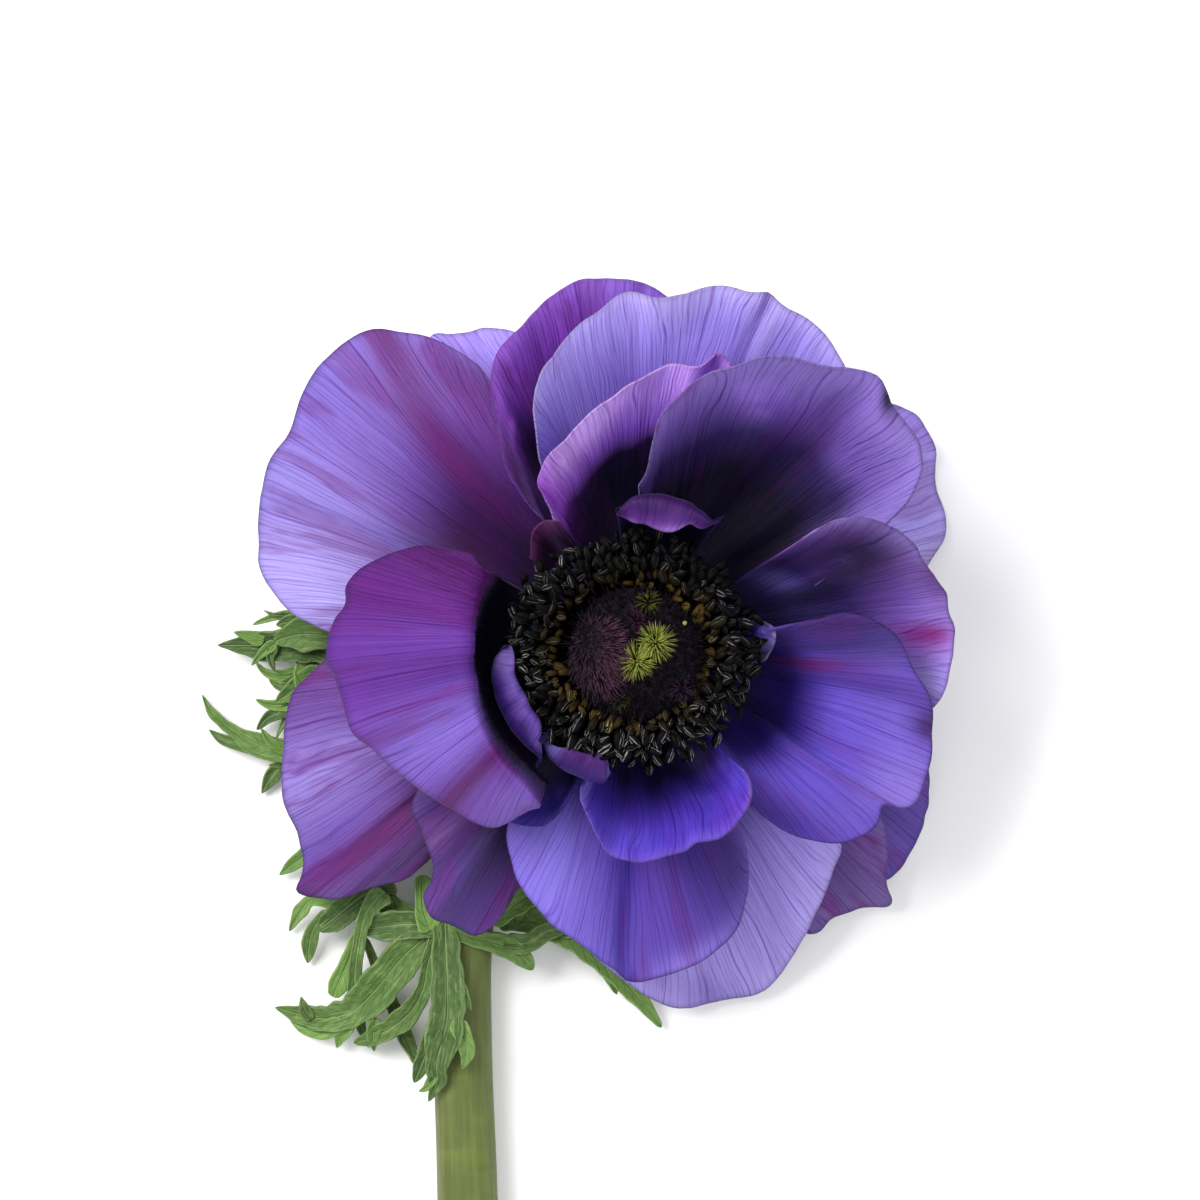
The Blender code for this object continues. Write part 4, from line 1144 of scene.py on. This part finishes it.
def buildCarpelHead():
    deselectAll()
    bpy.ops.mesh.primitive_uv_sphere_add(segments=56, ring_count=36, radius=1)
    dome = bpy.context.object
    headX, headY = carpelFacts["middle"]
    radius = carpelFacts["radius"]
    neck = carpelFacts["neck"]
    for vertex in dome.data.vertices:
        x, y, z = vertex.co
        if z >= -0.05:
            spotX, spotY = x * radius, y * radius
            height = float(domeHeight(np.array(spotX), np.array(spotY)))
        else:
            # the underside narrows to the receptacle
            down = -z
            shares = [1.0] + [s for s, _ in neck]
            levels = [carpelFacts["top"] - carpelFacts["dome"]] + [h for _, h in neck]
            steps = np.linspace(0, 1, len(shares))
            ring = max(math.hypot(x, y), 1e-6)
            reach = np.interp(down, steps, shares) * radius if down < 0.98 else ring * radius
            height = float(np.interp(down, steps, levels))
            spotX, spotY = x / ring * reach, y / ring * reach
            if ring < 0.01:
                spotX = spotY = 0.0
        bumps = noise.noise(Vector((spotX * 1.4, spotY * 1.4, height * 1.4))) * 0.18
        vertex.co = Vector(toWorld((headX + spotX, headY + spotY, height + bumps)))
    finishPiece(dome, "carpelDome", ["carpel_head"], domeSkin())

    template = hairTemplate()
    draw = newRandom(23)
    hairs, colours = [], []
    mx, my, wide, tall, _ = carpelFacts["mound"]

    def addHair(x, y, out, length, width, rootColour, tipColour, fall, lift=0.0):
        root = (headX + x, headY + y, float(domeHeight(x, y)) - 0.15 + lift)
        hairs.append(placeHair(template, root, out, length, width, fall))
        share = template[0][:, 2:3]
        colours.append(rootColour + (tipColour - rootColour) * share ** 1.3)

    low, high = carpelFacts["length"]
    width = carpelFacts["width"]
    soot = tint(7, 6, 8)
    for _ in range(carpelFacts["darkHairs"]):
        turn = draw.uniform(0, math.tau)
        reach = carpelFacts["radius"] * math.sqrt(draw.uniform(0, 0.97))
        x, y = reach * math.cos(turn), reach * math.sin(turn)
        if ((x - mx) / wide) ** 2 + ((y - my) / tall) ** 2 < 0.9:
            continue
        swirl = (math.cos(turn) * 0.35, math.sin(turn) * 0.35, 0)
        out = domeNormal(x, y) * 1.1 + swirl + draw.normal(0, 0.28, 3)
        out /= np.linalg.norm(out)
        tip = tint(56, 44, 58) if draw.random() < 0.25 else tint(20, 17, 23)
        addHair(x, y, out, draw.uniform(low, high), width, soot, tip, draw.normal(0, 0.2, 3))
    for _ in range(carpelFacts["moundHairs"]):
        turn = draw.uniform(0, math.tau)
        reach = math.sqrt(draw.uniform(0, 1))
        x, y = mx + wide * reach * math.cos(turn), my + tall * reach * math.sin(turn)
        away = np.array(((x - mx + 0.5) / wide, (y - my - 0.4) / tall, 0))
        out = domeNormal(x, y) * 0.6 + away * 0.30 + (0.55, -0.42, 0) + draw.normal(0, 0.16, 3)
        out /= np.linalg.norm(out)
        # painted highlight: the hair tips turn purple-pink towards the right of the mound
        pinkHighlight = np.clip(0.5 + 0.5 * (x - mx) / wide + draw.normal(0, 0.2), 0, 1)
        tip = tint(60, 50, 62) * (1 - pinkHighlight) + tint(126, 78, 108) * pinkHighlight
        addHair(x, y, out, draw.uniform(0.7, 1.3), width, tint(6, 4, 7), tip, away * 0.2)
    for middleX, middleY, size, count, tipColour, rootColour, lift in carpelFacts["tufts"]:
        for _ in range(count):
            turn = draw.uniform(0, math.tau)
            reach = math.sqrt(draw.uniform(0, 1))
            away = np.array((math.cos(turn) * reach, math.sin(turn) * reach, 0))
            out = away * 1.15 + (0, 0, 1.0 - 0.55 * reach) + draw.normal(0, 0.1, 3)
            out /= np.linalg.norm(out)
            x, y = middleX + away[0] * size * 0.5, middleY + away[1] * size * 0.5
            fade = np.clip(1.15 - 0.75 * reach + draw.normal(0, 0.15), 0.15, 1.2)
            addHair(x, y, out, draw.uniform(0.8, 1.25) * size * 0.75, width, rootColour * fade,
                    tipColour * fade, away * 0.15, lift * (1 - 0.6 * reach) * 0.45)
    beadX, beadY, beadRadius, stalk = carpelFacts["bead"]
    addHair(beadX, beadY, np.array((0, 0, 1.0)), stalk, width, soot, tint(120, 130, 62), np.zeros(3))
    for _ in range(60):
        out = draw.normal(0, 1, 3)
        out /= np.linalg.norm(out)
        addHair(beadX, beadY, out, beadRadius, width * 2, tint(120, 130, 62), tint(150, 158, 84),
                np.zeros(3), stalk)
    fuzz = pieceFromCopies("carpelHairs", hairs, template[1], template[2], pigment=np.concatenate(colours))
    finishPiece(fuzz, "carpelHairs", ["carpel_head"], hairSkin())
    print("anemone: carpel head", len(hairs), "hairs")


buildStamens()
buildCarpelHead()

greenFacts = {
    "leaf": tint(97, 131, 62),
    "leafDark": tint(52, 74, 38),
    "leafPale": tint(146, 168, 110),
    "leafThickness": 0.28,
    "fold": 0.32,          # how far the margins stand over the midrib, as a share of the half width
    "step": 0.45,          # length of one row of a lobe, mm
    "across": 8,
    "stem": tint(78, 87, 43),
    "stemPale": tint(102, 112, 62),
    "stemRibs": 11,
    "ribDepth": 0.05,
}

# each lobe: a route of (x, y, height, half width) from where it leaves the leaf to its tip, mm
leftLobes = (
    ((-22.9, -31.8, 4.6, 1.1), (-27.5, -29.5, 4.4, 1.3), (-32, -22, 4.0, 1.3), (-35, -12, 3.6, 1.2),
     (-36.4, -6, 3.5, 1.3), (-35.8, -2.4, 3.6, 2.0)),
    ((-33.6, -1.2, 4.4, 1.7), (-36.6, -0.6, 4.2, 2.0), (-40.2, -0.8, 3.6, 1.75), (-43.3, -0.7, 3.0, 1.15),
     (-46.5, -0.7, 2.4, 0.1)),
    ((-41.2, -0.2, 3.5, 1.0), (-43.2, 0.4, 3.6, 0.6), (-44.6, 0.8, 3.6, 0.1)),
    ((-33.2, 0.2, 5.4, 1.4), (-36.6, 0.6, 5.6, 1.9), (-39.0, 0.1, 5.2, 1.0), (-40.2, -0.4, 4.8, 0.1)),
    ((-36.6, 1.2, 5.4, 1.2), (-38.2, 1.9, 5.2, 0.9), (-39.8, 1.6, 4.9, 0.15)),
    ((-36.2, 2.3, 4.6, 0.6), (-38.6, 2.8, 4.4, 0.5), (-41, 2.2, 4.1, 0.35), (-42.5, 1.6, 3.8, 0.08)),
    ((-38.8, 2.7, 4.5, 0.3), (-40, 2.7, 4.6, 0.22), (-41.2, 3.2, 4.6, 0.05)),
    ((-31.6, 0.6, 5.8, 0.9), (-33.2, 1.7, 5.9, 1.0), (-34.9, 2.6, 5.6, 0.75), (-36.2, 3.5, 5.2, 0.08)),
    ((-39.8, -0.4, 4.9, 0.7), (-41.2, -1.4, 4.6, 0.55), (-42.6, -2.9, 4.0, 0.08)),
    ((-39.9, -0.6, 4.7, 0.6), (-40.5, -2, 4.5, 0.5), (-40, -3.6, 4.1, 0.1)),
    ((-36.2, -3.4, 3.0, 0.9), (-39.0, -4.2, 2.6, 0.8), (-41.0, -3.8, 2.5, 0.4), (-42.2, -2.6, 2.4, 0.1)),
    ((-35.4, -3.6, 3.4, 1.1), (-37.8, -4.9, 3.0, 0.9), (-39.6, -5.2, 2.6, 0.5), (-40.7, -4.5, 2.4, 0.1)),
    ((-34.8, -3.4, 4.2, 1.2), (-36.8, -4.8, 3.8, 1.25), (-38.5, -6.2, 3.2, 0.9), (-39.9, -7.0, 2.6, 0.3)),
    ((-36.4, -7.6, 2.8, 0.8), (-38.5, -7.4, 2.6, 0.75), (-40.6, -7.4, 2.3, 0.5), (-42.2, -6.8, 2.1, 0.1)),
    ((-37.6, -7.6, 2.7, 0.8), (-39.4, -8.2, 2.4, 0.7), (-40.9, -8.9, 2.1, 0.6), (-42.1, -10.2, 1.8, 0.15)),
    ((-37.8, -7.8, 2.2, 0.4), (-39.1, -9.4, 1.8, 0.35), (-40, -11.3, 1.4, 0.06)),
    ((-34.6, -12.4, 3.6, 1.3), (-39.4, -12.5, 2.9, 1.35), (-42.7, -11.6, 2.4, 1.15),
     (-45.2, -10, 1.9, 0.6),
     (-47.1, -8.4, 1.5, 0.5), (-48.3, -6.3, 1.0, 0.06)),
    ((-41.4, -12.1, 2.4, 1.0), (-43.8, -11.8, 2.0, 0.85), (-46.0, -11.3, 1.5, 0.55),
     (-47.5, -10.2, 1.2, 0.08)),
    ((-38.6, -12.6, 3.2, 0.8), (-40.4, -11.6, 3.4, 0.55), (-41.6, -10.0, 3.4, 0.08)),
    ((-36.8, -12.8, 2.8, 0.8), (-39.2, -14.2, 1.9, 0.7), (-40.5, -15.6, 1.4, 0.85),
     (-41.6, -17.4, 0.9, 0.1)),
    ((-39.0, -14.0, 1.9, 0.4), (-40, -14.2, 1.8, 0.3), (-40.8, -14.2, 1.6, 0.05)),
    ((-32.4, -21, 3.9, 1.0), (-35.0, -23.2, 3.0, 1.0), (-37.6, -25.0, 2.2, 0.85),
     (-39.6, -26.6, 1.2, 0.1)),
    ((-26.4, -28.6, 5.6, 1.4), (-29.4, -28.4, 5.4, 1.5), (-32.2, -30.4, 4.4, 1.6),
     (-34.0, -31.9, 3.4, 1.2),
     (-35.1, -32.7, 2.8, 0.35)),
    ((-33.2, -29.6, 3.8, 0.8), (-35.8, -29.3, 3.2, 0.7), (-37.3, -30.8, 2.2, 0.75),
     (-38.5, -32.9, 0.9, 0.1)),
    ((-34.0, -30.6, 3.4, 0.7), (-35.6, -32.4, 2.8, 0.75), (-36.2, -34.3, 2.0, 0.95),
     (-36.4, -36.5, 1.0, 0.2)),
    ((-27.6, -28.2, 6.6, 1.4), (-29.5, -30.4, 6.4, 0.95), (-30.4, -33.4, 5.8, 0.7),
     (-31, -37.8, 4.6, 0.75),
     (-30.9, -41.7, 3.2, 0.85), (-29.6, -46, 1.2, 0.1)),
    ((-30.3, -32.6, 5.6, 0.7), (-31.8, -36.2, 4.6, 0.85), (-32.9, -38.8, 3.6, 1.05),
     (-33.5, -40.2, 3.0, 0.5)),
)
frontLobes = (
    ((-20.9, -31.6, 7.0, 1.1), (-20.7, -35.2, 8.2, 1.7), (-20.5, -39.2, 9.2, 1.85),
     (-20.6, -42.6, 9.4, 2.0),
     (-21.2, -45.2, 9.0, 1.9), (-21.8, -47.8, 8.2, 1.2), (-21.7, -49.4, 7.4, 0.95),
     (-22.7, -51.8, 5.8, 0.1)),
    ((-19.4, -38.2, 9.3, 0.8), (-18.5, -40.0, 9.2, 0.5), (-17.9, -41.4, 8.8, 0.06)),
    ((-19.6, -42.4, 9.4, 1.1), (-18.7, -44.6, 9.2, 1.0), (-18.3, -46.4, 8.8, 0.75),
     (-18.9, -48.0, 8.2, 0.12)),
    ((-21.8, -43.4, 9.2, 1.2), (-22.9, -46.2, 8.4, 0.95), (-23.7, -48.2, 7.4, 0.75),
     (-24.3, -49.6, 6.6, 0.2)),
    ((-22.0, -48.8, 7.6, 0.7), (-22.9, -50.2, 7.0, 0.4), (-23.8, -50.6, 6.6, 0.08)),
    ((-21.6, -32.4, 6.8, 0.8), (-22.8, -36.4, 6.8, 0.7), (-23.3, -39.2, 6.2, 0.85),
     (-24.8, -41.8, 5.2, 1.15),
     (-26.9, -43.6, 4.2, 1.2), (-29.2, -44.8, 3.2, 0.9), (-31.2, -45.4, 2.6, 0.2)),
    ((-22.2, -32.8, 6.4, 1.2), (-25.2, -35.2, 6.2, 2.1), (-27.9, -38.4, 5.2, 2.2),
     (-30.7, -41.4, 4.0, 1.9),
     (-33.6, -42.6, 3.2, 1.5), (-36.6, -42.4, 2.2, 1.2), (-40.1, -41.5, 1.2, 0.1)),
    ((-32.4, -43.0, 3.4, 1.0), (-34.4, -43.9, 2.6, 1.1), (-36.6, -43.6, 2.0, 0.9),
     (-38.4, -42.4, 1.6, 0.3)),
    ((-36.0, -42.8, 2.6, 0.7), (-36.7, -41.6, 3.0, 0.6), (-37.1, -40.2, 3.2, 0.06)),
    ((-31.4, -43.0, 3.6, 0.9), (-32.6, -44.6, 2.8, 0.7), (-33.1, -46, 2.2, 0.1)),
    ((-28.6, -42.6, 4.0, 0.9), (-29.0, -44.6, 3.4, 0.7), (-28.9, -46.3, 2.8, 0.1)),
    ((-21.6, -32.2, 7.0, 1.3), (-24.6, -31.9, 6.6, 1.5), (-27.6, -32.2, 6.0, 1.6),
     (-30.0, -32.6, 5.4, 0.6)),
    ((-22.4, -32.6, 7.2, 1.5), (-23.3, -30.0, 7.2, 0.95), (-23.3, -26.4, 7.4, 1.0)),
    ((-29.8, -33.6, 4.4, 0.35), (-28.5, -37.2, 3.6, 0.55), (-26.4, -42, 2.6, 0.8),
     (-25.2, -45.2, 2.0, 0.85),
     (-23.9, -47.9, 1.8, 0.4)),
)
rightLobes = (
    ((-14.9, -31.6, 4.8, 1.1), (-11, -31.6, 5.2, 1.4), (-6.6, -33.4, 5.2, 1.5), (-2.4, -36.8, 4.2, 1.3),
     (0.6, -40.0, 2.8, 1.0), (3.4, -43.7, 1.4, 0.25)),
    ((-20.2, -32.4, 7.4, 1.0), (-17.4, -33.4, 7.2, 1.0), (-14.4, -34.2, 6.8, 1.2),
     (-12.4, -35.4, 6.2, 1.1),
     (-11.0, -37.0, 5.4, 0.45)),
    ((-14.2, -34.0, 6.8, 1.1), (-11.6, -34.0, 6.6, 1.1), (-9.4, -32.7, 6.4, 1.0),
     (-6.6, -32.3, 6.0, 0.25)),
    ((-15.6, -31.8, 5.4, 1.0), (-13.2, -29.8, 6.0, 1.3), (-10.9, -28.8, 6.2, 1.2),
     (-8.2, -30.8, 6.0, 0.4)),
    ((-12.8, -31.8, 4.9, 1.0), (-11.6, -28.4, 5.6, 1.0), (-8.6, -25.8, 6.0, 0.3)),
    ((-6.4, -33.8, 4.8, 0.9), (-3.4, -36.4, 4.0, 0.8), (-1.6, -39.9, 3.0, 0.15)),
    ((-8, -33.0, 5.3, 1.0), (-5.2, -31.4, 5.6, 1.0), (-2.2, -30.4, 5.6, 0.25)),
)
stemRoute = (
    (-16.8, -115, 3.7, 3.5), (-17.9, -92, 3.64, 3.5), (-18.2, -68, 3.64, 3.4), (-18.8, -48, 3.64, 3.3),
    (-18.8, -33, 3.64, 3.3), (-16.5, -21, 3.9, 2.9), (-10, -9.5, 4.6, 2.6), (-3.4, -3, 5.8, 2.5),
    (0, 0, 9.5, 2.5), (0, 0, 11, 2.5), (0, 0, 12.5, 2.5),
)


def leafSkin():
    # a matt green blade: pale midrib, side veins, pale thin margin, mottled.
    # The UV map is in centimetres: x across from the midrib, y from the foot of the lobe.
    material, w, shader = newMaterial("leafSkin", IOR=1.4, Specular_IOR_Level=0.25)
    acrossUv, outUv = uvAxes(w)
    x = abs(acrossUv * 10.0)
    y = outUv * 10.0
    edge = reading(w, "edge")
    shade = reading(w, "shade")
    mottle = grains(w, 900.0, 4.0, 0.6)
    streak = w.noise(x * 4.2, y * 0.35, shade * 7.0, detail=3.0)
    rib = 1.0 - x.rise(0.04, 0.16)
    wander = w.noise(x * 1.2, y * 0.8, 3.3) * 0.5
    side = abs((y * 0.62 - x * 1.1 + wander).fraction() - 0.5)
    twig = (1.0 - side.rise(0.0, 0.10)) * x.rise(0.05, 0.3)
    body = w.blend(greenFacts["leafDark"], greenFacts["leaf"],
                   (shade * 0.75 + mottle * 0.55 - 0.1).rise(0.0, 1.0))
    body = w.blend(body, greenFacts["leafPale"],
                   streak.rise(0.45, 0.75) * 0.35 + mottle.rise(0.5, 0.8) * 0.2)
    colour = w.blend(body, greenFacts["leafPale"], (rib * 0.34 + twig * 0.14 + edge.rise(0.88, 1.0) * 0.28))
    plug(colour, shader, "Base Color")
    plug(0.50 + mottle * 0.18, shader, "Roughness")
    plug(w.bump(mottle * 0.35 + streak * 0.4 - rib * 0.7 - twig * 0.4, 0.00022, 0.9), shader, "Normal")
    return material


def stemSkin():
    # ribbed green stem with pale streaks and specks, paler on its cut end
    material, w, shader = newMaterial("stemSkin", Sheen_Weight=0.05, Sheen_Roughness=0.45, IOR=1.4,
                                      Specular_IOR_Level=0.25)
    u, v = uvAxes(w)
    cut = reading(w, "cut")
    lower = reading(w, "lower")
    long = w.noise(u * 26.0, v * 1.6, 2.0, detail=4.0, rough=0.6)
    fine = w.noise(u * 90.0, v * 9.0, 4.0, detail=3.0)
    blotch = w.noise(u * 3.0, v * 5.0, 6.0, detail=3.0)
    body = w.blend(greenFacts["stem"], greenFacts["stemPale"], (long.rise(0.35, 0.75) * 0.6 + fine * 0.25))
    body = w.blend(body, tint(134, 146, 62), blotch.rise(0.45, 0.7) * lower * 0.4)
    pith = w.noise(u * 10.0, v * 60.0, 1.0, detail=2.0)
    body = w.blend(body, w.blend(tint(186, 196, 140), tint(150, 166, 96), pith), cut)
    plug(body, shader, "Base Color")
    plug(0.42 + fine * 0.2, shader, "Roughness")
    plug(w.bump(long * 0.6 + fine * 0.3, 0.00018, 0.8), shader, "Normal")
    return material


def buildLobe(route, number):
    # a tapering blade folded along its midrib, as its own object
    knots = np.array(route, float)
    fine = splineAt(knots, np.linspace(0, 1, 200))
    length = float(np.linalg.norm(np.diff(fine[:, :3], axis=0), axis=1).sum())
    rows = max(int(length / greenFacts["step"]), 8)
    across = greenFacts["across"]
    shares = np.linspace(0, 1, rows + 1)
    line = splineAt(knots, shares)
    half = np.maximum(line[:, 3], 0.03)
    half *= np.clip((1 - shares) * rows / 1.2 + 0.05, 0, 1) ** 0.5  # rounds a blunt tip
    half *= np.clip(shares * rows / 2.0 + 0.35, 0, 1)
    ahead = np.gradient(line[:, :3], axis=0)
    ahead /= np.linalg.norm(ahead, axis=1, keepdims=True)
    side = np.cross((0, 0, 1), ahead)
    side /= np.maximum(np.linalg.norm(side, axis=1, keepdims=True), 1e-6)
    up = np.cross(ahead, side)
    deselectAll()
    bpy.ops.mesh.primitive_grid_add(x_subdivisions=across, y_subdivisions=rows, size=1)
    blade = bpy.context.object
    mesh = blade.data
    uv = np.zeros((len(mesh.vertices), 2))
    edge = np.zeros(len(mesh.vertices))
    for vertex in mesh.vertices:
        s = vertex.co.x * 2
        j = round((vertex.co.y + 0.5) * rows)
        wavy = noise.noise(Vector((j * 0.16, s * 0.7, number * 4.3))) * 0.45
        ragged = noise.noise(Vector((j * 0.33, 4 + (s > 0) * 9, number * 2.9))) * 0.22
        wide = s * half[j] * (1 + ragged)
        tall = half[j] * greenFacts["fold"] * (abs(s) ** 1.4 - 0.5) + wavy * half[j] * 0.5
        spot = line[j, :3] + side[j] * wide + up[j] * tall
        spot[2] = max(spot[2], 0.35)
        uv[vertex.index] = (s * half[j] / 10, shares[j] * length / 10)
        edge[vertex.index] = abs(s)
        vertex.co = Vector(toWorld(spot))
    layer = mesh.uv_layers.active.data
    for loop in mesh.loops:
        layer[loop.index].uv = uv[loop.vertex_index]
    setValues(mesh, "edge", edge)
    tone = 0.5 + 0.5 * math.sin(number * 2.399)
    setValues(mesh, "shade", np.full(len(edge), tone))
    return blade


def buildBract(name, node, lobes, skin, number):
    blades = [buildLobe(route, number + k) for k, route in enumerate(lobes)]
    selectOnly(blades)
    bpy.ops.object.join()
    bract = blades[0]
    apply(bract, "SUBSURF", levels=1, render_levels=1)
    apply(bract, "SOLIDIFY", thickness=greenFacts["leafThickness"] * mm, offset=0)
    finishPiece(bract, name, [node], skin)


def buildStem():
    samples = 150
    curve = bpy.data.curves.new("stemLine", "CURVE")
    curve.dimensions = "3D"
    curve.bevel_depth = mm
    curve.bevel_resolution = 14
    curve.use_fill_caps = True
    line = splineAt(np.array(stemRoute, float), np.linspace(0, 1, samples + 1))
    places = toWorld(line[:, :3])
    strand = curve.splines.new("POLY")
    strand.points.add(samples)
    for k, (spot, radius) in enumerate(zip(places, line[:, 3])):
        strand.points[k].co = (*spot, 1)
        strand.points[k].radius = radius
    holder = bpy.data.objects.new("stemLine", curve)
    bpy.context.scene.collection.objects.link(holder)
    selectOnly([holder])
    bpy.ops.object.convert(target="MESH")
    stem = bpy.context.object
    bpy.ops.object.mode_set(mode="EDIT")
    bpy.ops.mesh.select_all(action="SELECT")
    bpy.ops.mesh.remove_doubles(threshold=0.00001)
    bpy.ops.mesh.normals_make_consistent(inside=False)
    bpy.ops.mesh.select_all(action="DESELECT")
    bpy.ops.object.mode_set(mode="OBJECT")
    # the cut end is inset and pushed in a little, as a fresh cut dries hollow
    low = min(v.co.y for v in stem.data.vertices)
    for face in stem.data.polygons:
        face.select = face.normal.y < -0.7 and face.center.y < low + 0.5 * mm
    bpy.ops.object.mode_set(mode="EDIT")
    bpy.ops.mesh.inset(thickness=0.5 * mm)
    bpy.ops.mesh.inset(thickness=1.3 * mm)
    bpy.ops.mesh.extrude_region_move(TRANSFORM_OT_translate={"value": (0, 1.4 * mm, 0)})
    bpy.ops.mesh.inset(thickness=0.6 * mm)
    bpy.ops.object.mode_set(mode="OBJECT")
    mesh = stem.data
    uv = np.zeros((len(mesh.vertices), 2))
    cut = np.zeros(len(mesh.vertices))
    lower = np.zeros(len(mesh.vertices))
    ahead = np.gradient(places, axis=0)
    ahead /= np.linalg.norm(ahead, axis=1, keepdims=True)
    for vertex in mesh.vertices:
        spot = np.array(vertex.co)
        k = int(np.linalg.norm(places - spot, axis=1).argmin())
        out = spot - places[k]
        out -= ahead[k] * out.dot(ahead[k])
        reach = max(np.linalg.norm(out), 1e-9)
        side = np.cross(ahead[k], (0.28, 0, 0.96))
        side /= np.linalg.norm(side)
        over = np.cross(side, ahead[k])
        turn = math.atan2(out.dot(over), out.dot(side))
        rib = math.cos(turn * greenFacts["stemRibs"]) * greenFacts["ribDepth"]
        lumps = noise.noise(Vector((math.cos(turn) * 1.2, math.sin(turn) * 1.2, k * 0.12))) * 0.08
        atEnd = reach < line[k, 3] * mm * 0.97
        if not atEnd:
            vertex.co += Vector(out / reach) * ((rib + lumps) * mm)
        uv[vertex.index] = (turn / math.tau, k / 12)
        cut[vertex.index] = 1.0 if atEnd else 0.0
        lower[vertex.index] = float(np.clip(1 - k / 60, 0, 1))
    layer = mesh.uv_layers.active or mesh.uv_layers.new(name="UVMap")
    layer.name = "UVMap"
    for face in mesh.polygons:
        turns = [uv[mesh.loops[k].vertex_index][0] for k in face.loop_indices]
        wraps = max(turns) - min(turns) > 0.5
        for k in face.loop_indices:
            u, v = uv[mesh.loops[k].vertex_index]
            layer.data[k].uv = (u + (1 if wraps and u < 0 else 0), v)
    setValues(mesh, "cut", cut)
    setValues(mesh, "lower", lower)
    finishPiece(stem, "stemTube", ["stem"], stemSkin())


def finishKnob():
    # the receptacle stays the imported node, green below the claws and nearly black among them
    material, w, shader = newMaterial("knobSkin", Roughness=0.6)
    height = w.node("SeparateXYZ", {0: w.node("TexCoord", out=3)}, out=2)
    clawLevel = flowerPlace.z + layerHeights[0] * mm
    mottle = grains(w, 1200.0, 3.0)
    green = w.blend(greenFacts["leafDark"], greenFacts["stem"], mottle)
    dark = w.blend(tint(10, 8, 18), tint(24, 16, 42), mottle)
    plug(w.blend(green, dark, height.rise(clawLevel - 2 * mm, clawLevel)), shader, "Base Color")
    plug(w.bump(mottle, 0.0002), shader, "Normal")
    knob = bpy.data.objects["receptacle"]
    knob.data.materials.clear()
    knob.data.materials.append(material)


def buildGreens():
    skin = leafSkin()
    buildBract("bractLeft", "bract_left", leftLobes, skin, 1)
    buildBract("bractFront", "bract_front", frontLobes, skin, 41)
    buildBract("bractRight", "bract_right", rightLobes, skin, 71)
    buildStem()
    finishKnob()
    print("anemone: stem and bracts")


buildGreens()
